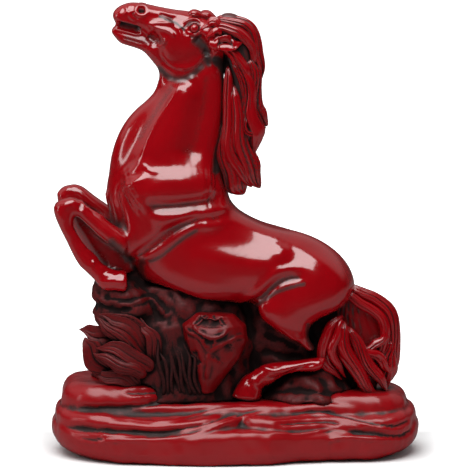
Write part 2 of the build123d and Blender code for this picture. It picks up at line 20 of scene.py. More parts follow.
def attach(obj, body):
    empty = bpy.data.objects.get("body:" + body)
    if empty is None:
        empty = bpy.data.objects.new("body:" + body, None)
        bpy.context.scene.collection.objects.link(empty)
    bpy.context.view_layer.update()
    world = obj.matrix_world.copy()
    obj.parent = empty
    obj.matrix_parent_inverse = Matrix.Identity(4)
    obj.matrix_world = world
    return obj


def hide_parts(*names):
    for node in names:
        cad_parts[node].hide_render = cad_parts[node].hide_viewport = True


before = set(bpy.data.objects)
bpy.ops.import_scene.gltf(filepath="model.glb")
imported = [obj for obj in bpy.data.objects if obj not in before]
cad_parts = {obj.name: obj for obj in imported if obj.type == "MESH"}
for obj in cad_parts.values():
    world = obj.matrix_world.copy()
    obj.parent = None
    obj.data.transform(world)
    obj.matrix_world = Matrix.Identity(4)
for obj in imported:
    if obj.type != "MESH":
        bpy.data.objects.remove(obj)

LOG = logging.getLogger("horse_figurine")
MM = 0.001
TINY = 1e-9
WELD = 0.001 * MM
BODY = "root"
# The mesh attribute that darkens the resin: dark brown in its creases, and painted shade where a piece is
# overhung.
PATINA_AND_SHADE = "patina"
PHOTO_PX = 470
TILT = math.radians(10.0)
DECK_HEIGHT = 24.8
HORSE_HEIGHT = 175.2
HORSE_PX = 393.0
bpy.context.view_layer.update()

Pixel = tuple[float, float]
Region = tuple[float, float, float]
Row = tuple[float, float, float, float]
Colour = tuple[float, float, float]
Piece = tuple[bpy.types.Object, tuple[str, ...]]
Socket = bpy.types.NodeSocket


@dataclass(frozen=True)
class View:
    """How the photograph's pixels lie in the shared frame, with the horse's middle plane at y = 0.

    A pixel's size comes from the horse's height above the deck and the pixels that it takes up.
    """

    tilt: float = TILT
    middle_px: float = 235.0
    deck_px: float = 395.0
    deck_height: float = DECK_HEIGHT * MM
    px: float = HORSE_HEIGHT * MM * math.cos(TILT) / HORSE_PX

    def spot(self, pixels: np.ndarray, depth: float | np.ndarray = 0.0) -> np.ndarray:
        """Turns pixels into places.

        Args:
            pixels: rows of (across, down).
            depth: how far along +Y each place lies, in metres.

        Returns:
            Rows of (x, y, z), in metres.
        """
        pixels = np.asarray(pixels, float)
        rise = (self.deck_px - pixels[:, 1]) * self.px - depth * math.sin(self.tilt)
        across = (pixels[:, 0] - self.middle_px) * self.px
        return np.stack([across, np.broadcast_to(depth, across.shape),
                         self.deck_height + rise / math.cos(self.tilt)], axis=1)

    def place(self, pixel: Pixel, depth: float = 0.0) -> np.ndarray:
        """Turns one pixel into a place (x, y, z), at a depth in metres."""
        return self.spot(np.array([pixel]), depth)[0]

    def heading(self) -> Vector:
        """The direction in which the camera looks."""
        return Vector((0.0, math.cos(self.tilt), -math.sin(self.tilt)))


VIEW = View()


def smooth_path(points: Sequence[Sequence[float]], count: int) -> np.ndarray:
    """Runs a Catmull-Rom curve through points.

    Args:
        points: rows of any width.
        count: how many samples to return.

    Returns:
        The samples, evenly spaced in the points' own order.
    """
    rows = np.asarray(points, float)
    if len(rows) == 1:
        return np.repeat(rows, count, axis=0)
    rows = np.vstack([2 * rows[0] - rows[1], rows, 2 * rows[-1] - rows[-2]])
    place = np.linspace(0, len(rows) - 3 - TINY, count)
    index = place.astype(int)
    share = (place - index)[:, None]
    before, start, end, after = (rows[index + step] for step in range(4))
    return 0.5 * (2 * start + (end - before) * share
                  + (2 * before - 5 * start + 4 * end - after) * share ** 2
                  + (3 * start - before - 3 * end + after) * share ** 3)


def ease(share: np.ndarray) -> np.ndarray:
    """A smooth rise from 0 to 1 over the same range."""
    share = np.clip(share, 0, 1)
    return share * share * (3 - 2 * share)


class Profile(Enum):
    """The section of a sculpting stroke."""

    SWELL = "a rounded swelling, or a hollow where the height is negative"
    LINE = "a sharp crest, or a crease where the height is negative"
    STEP = "the right-hand side of the path's travel stands up in a sharp edge, and the left sinks"
    RAMP = "as a step, with a slope that fills a third of the reach"


LINE, STEP, RAMP = Profile.LINE, Profile.STEP, Profile.RAMP


@dataclass(frozen=True)
class Stroke:
    """One sculpting stroke along a path of pixels, with its reach and height in millimetres."""

    name: str
    path: tuple[Pixel, ...]
    reach: float
    height: float
    profile: Profile = Profile.SWELL
    twin: bool = True

    SAMPLES: ClassVar[int] = 3
    FADE_IN: ClassVar[float] = 5.0
    FADE_FROM: ClassVar[float] = 0.12
    STEEPNESS: ClassVar[dict[Profile, float]] = {Profile.STEP: 5, Profile.RAMP: 3}

    def samples(self) -> np.ndarray:
        """Pixels along the path, some to each reach, or the one pixel of a dab."""
        length = sum(math.dist(start, end) for start, end in zip(self.path, self.path[1:]))
        count = max(2, int(length / max(1.0, self.reach)) * self.SAMPLES) if length else 1
        return smooth_path(self.path, count)

    @staticmethod
    def rights(pixels: np.ndarray) -> np.ndarray:
        """The direction to the right of the path's travel, at each of its samples."""
        travel = np.gradient(pixels, axis=0) if len(pixels) > 1 else np.zeros((1, 2))
        right = np.stack([-travel[:, 1], np.zeros(len(pixels)), -travel[:, 0]], axis=1)
        return right / np.maximum(np.linalg.norm(right, axis=1), TINY)[:, None]

    def fade(self, count: int) -> np.ndarray:
        """How strong the stroke is at each of its samples: it comes in and goes out at its ends."""
        if count == 1:
            return np.ones(1)
        share = np.minimum(np.linspace(0, 1, count), np.linspace(1, 0, count))
        return ease(share * self.FADE_IN + self.FADE_FROM)

    def section(self, share: np.ndarray, aside: np.ndarray) -> np.ndarray:
        """The stroke's section.

        Args:
            share: how near each point is to the path, 1 on it and 0 at the reach.
            aside: how far to the right of the path each point is, as a share of the reach.

        Returns:
            How far each point moves, as a share of the stroke's height.
        """
        if self.profile is Profile.LINE:
            return share ** 2
        if self.profile is Profile.SWELL:
            return ease(share)
        return np.tanh(self.STEEPNESS[self.profile] * aside) * ease(share)


class Surface:
    """A mesh object's points and normals, worked on in bulk."""

    SMOOTHING: float = 0.5
    SWELL_BACK: float = 0.53
    PULL: float = 0.6
    RIM_SHARE: float = 1.15
    BEFORE: float = -150 * MM
    WARP: float = 1.1
    WARP_RATE: float = 0.63
    WAVES: tuple[tuple[float, float, float], ...] = (
        (1.9, 0.7, 1.3), (-1.1, 2.1, 0.8), (0.6, -1.4, 2.3), (2.4, 1.7, -0.9))

    def __init__(self, piece: bpy.types.Object) -> None:
        """Reads the piece's mesh."""
        self.piece = piece
        self.mesh = piece.data
        self.points = np.empty(len(self.mesh.vertices) * 3, np.float64)
        self.mesh.vertices.foreach_get("co", self.points)
        self.points = self.points.reshape(-1, 3)
        ends = np.empty(len(self.mesh.edges) * 2, np.int32)
        self.mesh.edges.foreach_get("vertices", ends)
        self.ends = ends.reshape(-1, 2)
        self.degree = np.bincount(self.ends.ravel(), minlength=len(self.points)).astype(float)[:, None]

    def write(self) -> None:
        """Puts the points back into the mesh."""
        self.mesh.vertices.foreach_set("co", self.points.ravel())
        self.mesh.update()

    def normals(self) -> np.ndarray:
        """The normal at each point."""
        self.write()
        found = np.empty(len(self.points) * 3, np.float64)
        self.mesh.vertex_normals.foreach_get("vector", found)
        return found.reshape(-1, 3)

    def mean(self, values: np.ndarray) -> np.ndarray:
        """The mean of each point's neighbours."""
        total = np.zeros_like(values)
        for here, there in ((0, 1), (1, 0)):
            for column in range(values.shape[1]):
                total[:, column] += np.bincount(self.ends[:, here], values[self.ends[:, there], column],
                                                len(values))
        return total / self.degree

    def relax(self, rounds: int) -> None:
        """Smooths in a number of paired passes, of which each second one swells the surface back."""
        for _ in range(rounds):
            for strength in (self.SMOOTHING, -self.SWELL_BACK):
                self.points += strength * (self.mean(self.points) - self.points)

    def soften(self, rounds: int, where: np.ndarray) -> None:
        """Rounds off broad flats, and then swells the surface back by its mean loss.

        Args:
            rounds: how many passes.
            where: a weight for each point.
        """
        before = self.points.copy()
        for _ in range(rounds):
            self.points += self.PULL * where[:, None] * (self.mean(self.points) - self.points)
        lost = self.points - before
        for _ in range(rounds):
            lost = self.mean(lost)
        self.points -= lost * where[:, None]

    def near(self, places: Iterable[Region], blend: float = 0.3) -> np.ndarray:
        """How near each point is to the places.

        Args:
            places: (across, down, radius in mm) of round regions as deep as the object.
            blend: how wide the blend at a region's rim is, as a share of its radius.

        Returns:
            1 well inside a region, 0 outside all of them, and a smooth blend between.
        """
        share = np.zeros(len(self.points))
        for across, down, radius in places:
            centre = VIEW.place((across, down))
            away = np.hypot(self.points[:, 0] - centre[0], self.points[:, 2] - centre[2]) / (radius * MM)
            share = np.maximum(share, ease((self.RIM_SHARE - away) / blend))
        return share

    def tree(self) -> BVHTree:
        """A tree for casting rays at the surface as it is now."""
        self.write()
        faces = [tuple(face.vertices) for face in self.mesh.polygons]
        return BVHTree.FromPolygons([tuple(point) for point in self.points], faces)

    def onto(self, tree: BVHTree, pixels: np.ndarray) -> np.ndarray:
        """Drops pixels onto the surface, as seen from the camera.

        Args:
            tree: the surface's tree.
            pixels: rows of (across, down).

        Returns:
            Rows of (x, y, z).
        """
        hits = []
        for start, middle in zip(VIEW.spot(pixels, self.BEFORE), VIEW.spot(pixels)):
            found = tree.ray_cast(Vector(start), VIEW.heading())[0]
            if found is None:
                found = tree.find_nearest(Vector(middle))[0]
            hits.append(tuple(found))
        return np.array(hits)

    def work(self, strokes: Iterable[Stroke]) -> None:
        """Works the surface with strokes, all laid out on its shape before the first."""
        tree = self.tree()
        normals = self.normals()
        moved = np.zeros(len(self.points))
        for stroke in strokes:
            LOG.debug("%s: stroke %s", self.piece.name, stroke.name)
            reach = stroke.reach * MM
            pixels = stroke.samples()
            hits = self.onto(tree, pixels)
            right = stroke.rights(pixels)
            fade = stroke.fade(len(pixels))
            for flip in (1, -1) if stroke.twin else (1,):
                mirror = np.array([1, flip, 1])
                line = hits * mirror
                near = np.flatnonzero(((self.points > line.min(0) - reach)
                                       & (self.points < line.max(0) + reach)).all(1))
                gap = self.points[near, None, :] - line[None, :, :]
                distance = np.einsum("ijk,ijk->ij", gap, gap)
                nearest = distance.argmin(1)
                share = 1 - np.sqrt(distance.min(1)) / reach
                inside = share > 0
                near, nearest, share = near[inside], nearest[inside], share[inside]
                aside = np.einsum("ij,ij->i", gap[inside, nearest], (right * mirror)[nearest]) / reach
                moved[near] += stroke.height * MM * stroke.section(share, aside) * fade[nearest]
        self.points += normals * moved[:, None]

    def roughen(self, size: float, height: float, seed: float) -> None:
        """Adds shallow hand-made unevenness.

        Args:
            size: how far apart the swellings are, in millimetres.
            height: their height, in millimetres.
            seed: shifts the pattern.
        """
        normals = self.normals()
        place = self.points / (size * MM) + seed
        place = place + self.WARP * np.sin(self.WARP_RATE * place[:, [1, 2, 0]] + 2 * seed)
        wave = sum(np.sin(place @ direction + seed * turn)
                   for turn, direction in enumerate(np.array(self.WAVES)))
        self.points += normals * (wave * height * MM / len(self.WAVES))[:, None]


def placed(name: str, mesh: bpy.types.Mesh) -> bpy.types.Object:
    """Puts a mesh into the scene as an object at the origin."""
    piece = bpy.data.objects.new(name, mesh)
    bpy.context.scene.collection.objects.link(piece)
    return piece


def finished(name: str, shell: bmesh.types.BMesh) -> bpy.types.Object:
    """Ends the work on a shell, and puts it into the scene as an object at the origin."""
    mesh = bpy.data.meshes.new(name)
    shell.to_mesh(mesh)
    shell.free()
    return placed(name, mesh)


def refined(piece: bpy.types.Object, places: Iterable[Region], inside: float = 0.5) -> Surface:
    """Halves the faces inside round regions, and gives the piece's new surface.

    Args:
        piece: the piece.
        places: (across, down, radius in mm) of each region.
        inside: how far inside a region both ends of an edge lie, from 0 to 1.

    Returns:
        The surface with the finer faces.
    """
    share = Surface(piece).near(places)
    shell = bmesh.new()
    shell.from_mesh(piece.data)
    shell.verts.ensure_lookup_table()
    edges = [edge for edge in shell.edges if min(share[vert.index] for vert in edge.verts) > inside]
    bmesh.ops.subdivide_edges(shell, edges=edges, cuts=1, use_grid_fill=True)
    shell.to_mesh(piece.data)
    shell.free()
    return Surface(piece)


def mirrored(name: str, piece: bpy.types.Object) -> bpy.types.Object:
    """A twin of a piece on the other side of the horse's middle plane."""
    shell = bmesh.new()
    shell.from_mesh(piece.data)
    bmesh.ops.scale(shell, verts=shell.verts, vec=(1, -1, 1))
    bmesh.ops.recalc_face_normals(shell, faces=shell.faces)
    return finished(name, shell)


def both(*names: str) -> tuple[str, ...]:
    """The near and the far node of each name."""
    return tuple(f"{name}_{side}" for name in names for side in ("near", "far"))


def shade_smooth(piece: bpy.types.Object) -> None:
    """Shades every face smooth."""
    piece.data.polygons.foreach_set("use_smooth", [True] * len(piece.data.polygons))
    piece.data.update()


@dataclass(frozen=True)
class Lump:
    """A ball of clay pressed on at a pixel on both sides, with its depth and radius in millimetres."""

    name: str
    px: Pixel
    depth: float
    radius: float

    def press(self, shell: bmesh.types.BMesh) -> None:
        """Adds the ball and its twin."""
        centre = Vector(VIEW.place(self.px, self.depth * MM))
        for flip in (1, -1):
            place = Matrix.Translation((centre.x, centre.y * flip, centre.z))
            bmesh.ops.create_icosphere(shell, subdivisions=3, radius=self.radius * MM, matrix=place)


def fused(name: str, nodes: Sequence[str], voxel: float,
          lumps: Iterable[Lump] = ()) -> bpy.types.Object:
    """Fuses copies of CAD nodes into one closed skin.

    Args:
        name: the new piece's name.
        nodes: the nodes to fuse.
        voxel: the size of the skin's faces, in millimetres.
        lumps: clay to press on first.

    Returns:
        The new piece.
    """
    shell = bmesh.new()
    for node in nodes:
        shell.from_mesh(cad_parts[node].data)
    bmesh.ops.remove_doubles(shell, verts=shell.verts, dist=WELD)
    for lump in lumps:
        LOG.debug("%s: clay %s", name, lump.name)
        lump.press(shell)
    rough = finished(name + "_masses", shell)
    masses = rough.data
    remesh = rough.modifiers.new("fuse", "REMESH")
    remesh.mode = "VOXEL"
    remesh.voxel_size = voxel * MM
    ready = rough.evaluated_get(bpy.context.evaluated_depsgraph_get())
    skin = placed(name, bpy.data.meshes.new_from_object(ready))
    skin.data.name = name
    skin.data.materials.clear()
    bpy.data.objects.remove(rough)
    bpy.data.meshes.remove(masses)
    return skin


@dataclass(frozen=True)
class Lock:
    """A ribbed lock of hair, leaf or blade.

    The rows of its path are (across, down, depth in mm, breadth in px), and its thickness and sway
    are in millimetres. The constants give the shares of its length that its root and tip take up, how
    its sway grows from them, and how its ribs wander, deepen and break off at a ragged edge.
    """

    name: str
    rows: tuple[Row, ...]
    thickness: float
    ribs: int
    twist: float
    groove: float = 0.26
    node: str = ""
    blunt: float = 0.35
    sway: float = 0.7
    waves: float = 1.7
    ragged: float = 0.45
    fold: float = 0.0
    rings: int = 60
    sides: int = 96

    ROOT_SHARE: ClassVar[float] = 0.07
    TIP_SHARE: ClassVar[float] = 0.3
    THINNEST_SHARE: ClassVar[float] = 0.05
    SWAY_IN: ClassVar[float] = 4.0
    SWAY_OUT: ClassVar[float] = 3.0
    PHASES: ClassVar[int] = 6
    WANDER: ClassVar[tuple[tuple[int, float], ...]] = ((1, 0.42), (2, 0.24), (3, 0.12))
    WANDER_RATE: ClassVar[float] = 2.5
    RIB_POWER: ClassVar[float] = 0.6
    FINE_TWIST: ClassVar[float] = 1.3
    FINE_START: ClassVar[float] = 0.8
    FINE_POWER: ClassVar[float] = 0.7
    FINE_GROOVE: ClassVar[float] = 0.4
    GROOVE_MEAN: ClassVar[float] = 0.75
    GROOVE_SWING: ClassVar[float] = 0.45
    GROOVE_RATE: ClassVar[float] = 4.0
    GROOVE_PHASE: ClassVar[int] = 4
    RAGGED_IN: ClassVar[float] = 2.0
    RAGGED_FROM: ClassVar[float] = 0.9
    FOLD_LINE: ClassVar[float] = 0.4
    SEAM: ClassVar[float] = 0.002 * MM

    def course(self, line: np.ndarray, share: np.ndarray,
               rng: np.random.Generator) -> tuple[np.ndarray, np.ndarray, np.ndarray]:
        """Lays out where the lock runs.

        Args:
            line: the path's row at each ring.
            share: how far along the lock each ring is.
            rng: draws where the sway starts.

        Returns:
            Each ring's centre, and its directions along its breadth and its depth.
        """
        centres = VIEW.spot(line[:, :2], line[:, 2] * MM)
        travel = np.gradient(centres, axis=0)
        travel /= np.linalg.norm(travel, axis=1)[:, None]
        broad = np.cross(travel, np.array(VIEW.heading()))
        broad /= np.maximum(np.linalg.norm(broad, axis=1), TINY)[:, None]
        drift = (np.sin(2 * math.pi * (self.waves * share + rng.random()))
                 * ease(self.SWAY_IN * share) * ease(self.SWAY_OUT - self.SWAY_OUT * share))
        centres = centres + broad * (self.sway * MM * drift)[:, None]
        return centres, broad, np.cross(broad, travel)

    def relief(self, around: np.ndarray, share: np.ndarray, rng: np.random.Generator) -> np.ndarray:
        """Cuts the ribs and the ragged edge.

        Args:
            around: the number of each point's side.
            share: how far along the lock each point is.
            rng: draws how the ribs wander and how far each is cut short.

        Returns:
            How far out each point is, as a share of the plain section.
        """
        turn = around / self.sides * 2 * math.pi
        phases = rng.uniform(0, 2 * math.pi, self.PHASES)
        spread = turn + sum(size * np.sin(number * turn + phases[number] + self.WANDER_RATE * share)
                            for number, size in self.WANDER)
        rib = np.abs(np.sin(self.ribs * spread / 2 + self.twist * share * math.pi))
        fine = np.abs(np.sin(self.ribs * spread + self.FINE_TWIST * self.twist * share * math.pi
                             + self.FINE_START))
        swing = np.sin(2 * turn + phases[self.GROOVE_PHASE] + self.GROOVE_RATE * share)
        groove = self.groove * (self.GROOVE_MEAN + self.GROOVE_SWING * swing)
        cuts = rng.random(self.ribs + 1)
        cuts[-1] = cuts[0]
        uneven = np.interp(around / self.sides * self.ribs, np.arange(self.ribs + 1), cuts)
        relief = (1 - groove * (1 - rib ** self.RIB_POWER)
                  - self.FINE_GROOVE * groove * (1 - fine ** self.FINE_POWER))
        return relief * (1 - self.ragged * uneven * ease(self.RAGGED_IN * share - self.RAGGED_FROM))

    def build(self) -> bpy.types.Object:
        """Makes the lock as a grid wrapped round its path, closed along its seam and at both ends."""
        shell = bmesh.new()
        bmesh.ops.create_grid(shell, x_segments=self.sides, y_segments=self.rings, size=1.0)
        shell.verts.ensure_lookup_table()
        flat = np.array([vert.co for vert in shell.verts])
        around = np.rint((flat[:, 0] + 1) / 2 * self.sides).astype(int)
        along = np.rint((flat[:, 1] + 1) / 2 * self.rings).astype(int)
        rng = np.random.default_rng(sum(self.name.encode()))
        line = smooth_path(self.rows, self.rings + 1)
        share = np.linspace(0, 1, self.rings + 1)
        centres, broad, deep = self.course(line, share, rng)
        root = np.sqrt(np.clip(share / self.ROOT_SHARE, 0, 1))
        tip = np.clip((1 - share) / self.TIP_SHARE, 0, 1) ** self.blunt
        breadth = line[:, 3] * VIEW.px / 2 * root * tip
        thinning = np.sqrt(np.clip(line[:, 3] / line[:, 3].max(), self.THINNEST_SHARE, 1))
        depth = self.thickness * MM / 2 * thinning * root * tip
        turn = around / self.sides * 2 * math.pi
        relief = self.relief(around, share[along], rng)
        bend = self.fold * breadth[along] * (self.FOLD_LINE - np.cos(turn) ** 2)
        place = (centres[along] + broad[along] * (breadth[along] * np.cos(turn) * relief)[:, None]
                 + deep[along] * (depth[along] * np.sin(turn) * relief + bend)[:, None])
        for vert, spot in zip(shell.verts, place):
            vert.co = spot
        bmesh.ops.remove_doubles(shell, verts=shell.verts, dist=self.SEAM)
        bmesh.ops.recalc_face_normals(shell, faces=shell.faces)
        return finished(self.name, shell)

    def piece(self) -> Piece:
        """The built lock, with the CAD node that it stands for if it has one."""
        return self.build(), (self.node,) if self.node else ()


class Graph:
    """The nodes of a material or a world."""

    def __init__(self, owner: bpy.types.Material | bpy.types.World) -> None:
        """Switches the owner's nodes on."""
        owner.use_nodes = True
        self.tree = owner.node_tree

    def add(self, kind: str, **settings: str) -> bpy.types.Node:
        """Adds a node with its settings."""
        node = self.tree.nodes.new("ShaderNode" + kind)
        for key, value in settings.items():
            setattr(node, key, value)
        return node

    def feed(self, node: bpy.types.Node, entries: dict[str | int, object]) -> bpy.types.Node:
        """Links or sets a node's inputs.

        Args:
            node: the node.
            entries: for each input, the socket that feeds it, a number, or a colour of three numbers.

        Returns:
            The same node.
        """
        for key, entry in entries.items():
            if isinstance(entry, Socket):
                self.tree.links.new(entry, node.inputs[key])
            else:
                node.inputs[key].default_value = (*entry, 1) if isinstance(entry, tuple) else entry
        return node

    def place(self, kind: str = "Object") -> Socket:
        """The place of each point, in the object's own space unless told otherwise."""
        return self.add("TexCoord").outputs[kind]

    def noise(self, place: Socket, scale: float, detail: float) -> Socket:
        """A noise pattern."""
        node = self.feed(self.add("TexNoise"), {"Scale": scale, "Detail": detail, "Vector": place})
        return node.outputs["Fac"]

    def mix(self, factor: Socket, low: Colour | Socket, high: Colour | Socket) -> Socket:
        """A blend of two colours by a factor."""
        node = self.add("Mix", data_type="RGBA")
        return self.feed(node, {"Factor": factor, "A": low, "B": high}).outputs["Result"]

    def math(self, operation: str, *entries: float | Socket) -> Socket:
        """One arithmetic step."""
        return self.feed(self.add("Math", operation=operation), dict(enumerate(entries))).outputs["Value"]

    def ramp(self, value: Socket, low: float, high: float) -> Socket:
        """A smooth rise from 0 to 1 between two values."""
        node = self.add("MapRange", interpolation_type="SMOOTHSTEP")
        return self.feed(node, {"From Min": low, "From Max": high, "Value": value}).outputs["Result"]

    def bump(self, relief: Socket, strength: float, height: float) -> Socket:
        """A fine relief, with its height in metres."""
        node = self.feed(self.add("Bump"), {"Strength": strength, "Distance": height, "Height": relief})
        return node.outputs["Normal"]


@dataclass(frozen=True)
class ResinFinish:
    """Deep red cast resin under a clear gloss, darkened to dark brown in its creases and by painted shade
    where it is overhung.

    The pair of mottle, specks and ripple is the pattern's scale and detail, and each other pair is the
    range over which the pattern rises.
    """

    name: str = "red_resin"
    red: Colour = (0.262, 0.0003, 0.0030)
    deep_red: Colour = (0.195, 0.0002, 0.0022)
    # The dark brown of the creases, also used as painted shade where a piece is overhung.
    wash_and_shade: Colour = (0.016, 0.0032, 0.0024)
    roughness: float = 0.15
    washed_and_shaded_roughness: float = 0.36
    coat: float = 0.15
    coat_roughness: float = 0.06
    ior: float = 1.75
    mottle: tuple[float, float] = (90.0, 3.0)
    specks: tuple[float, float] = (900.0, 4.0)
    speck_gain: float = 0.35
    speck_start: float = -0.17
    wash_and_shade_range: tuple[float, float] = (0.10, 0.78)
    pore_scale: float = 420.0
    pore_range: tuple[float, float] = (0.0, 0.16)
    pore_depth: float = 0.25
    ripple: tuple[float, float] = (240.0, 2.0)
    ripple_depth: float = 0.55
    relief_strength: float = 0.16
    relief_height: float = 0.6 * MM

    def material(self) -> bpy.types.Material:
        """Builds the node material."""
        material = bpy.data.materials.new(self.name)
        graph = Graph(material)
        place = graph.place()
        # The darkening mask: dark brown in the creases, and painted shade of overhung places.
        wash_and_shade = graph.add("Attribute", attribute_name=PATINA_AND_SHADE).outputs["Fac"]
        red = graph.mix(graph.noise(place, *self.mottle), self.deep_red, self.red)
        specks = graph.noise(place, *self.specks)
        specks = graph.math("MULTIPLY_ADD", specks, self.speck_gain, self.speck_start)
        amount = graph.ramp(graph.math("ADD", wash_and_shade, specks), *self.wash_and_shade_range)
        rough = graph.math("MULTIPLY_ADD", amount, self.washed_and_shaded_roughness, self.roughness)
        pores = graph.feed(graph.add("TexVoronoi"), {"Scale": self.pore_scale, "Vector": place})
        pit = graph.ramp(pores.outputs["Distance"], *self.pore_range)
        skin = graph.math("MULTIPLY", graph.noise(place, *self.ripple), self.ripple_depth)
        relief = graph.math("MULTIPLY_ADD", pit, self.pore_depth, skin)
        normal = graph.bump(relief, self.relief_strength, self.relief_height)
        graph.feed(graph.tree.nodes["Principled BSDF"], {
            "Base Color": graph.mix(amount, red, self.wash_and_shade), "Roughness": rough, "IOR": self.ior,
            "Coat Weight": self.coat, "Coat Roughness": self.coat_roughness,
            "Normal": normal, "Coat Normal": normal})
        return material


@dataclass(frozen=True)
class FeltFinish:
    """Short matt felt, with its fibres' scale and detail."""

    name: str = "base_felt"
    colour: Colour = (0.10, 0.008, 0.012)
    lighter: float = 1.8
    sheen: float = 0.5
    roughness: float = 0.95
    fibres: tuple[float, float] = (1800.0, 5.0)
    relief_strength: float = 0.5
    relief_height: float = 0.2 * MM

    def material(self) -> bpy.types.Material:
        """Builds the node material."""
        material = bpy.data.materials.new(self.name)
        graph = Graph(material)
        fibre = graph.noise(graph.place(), *self.fibres)
        light = tuple(channel * self.lighter for channel in self.colour)
        graph.feed(graph.tree.nodes["Principled BSDF"], {
            "Base Color": graph.mix(fibre, self.colour, light), "Roughness": self.roughness,
            "Sheen Weight": self.sheen,
            "Normal": graph.bump(fibre, self.relief_strength, self.relief_height)})
        return material


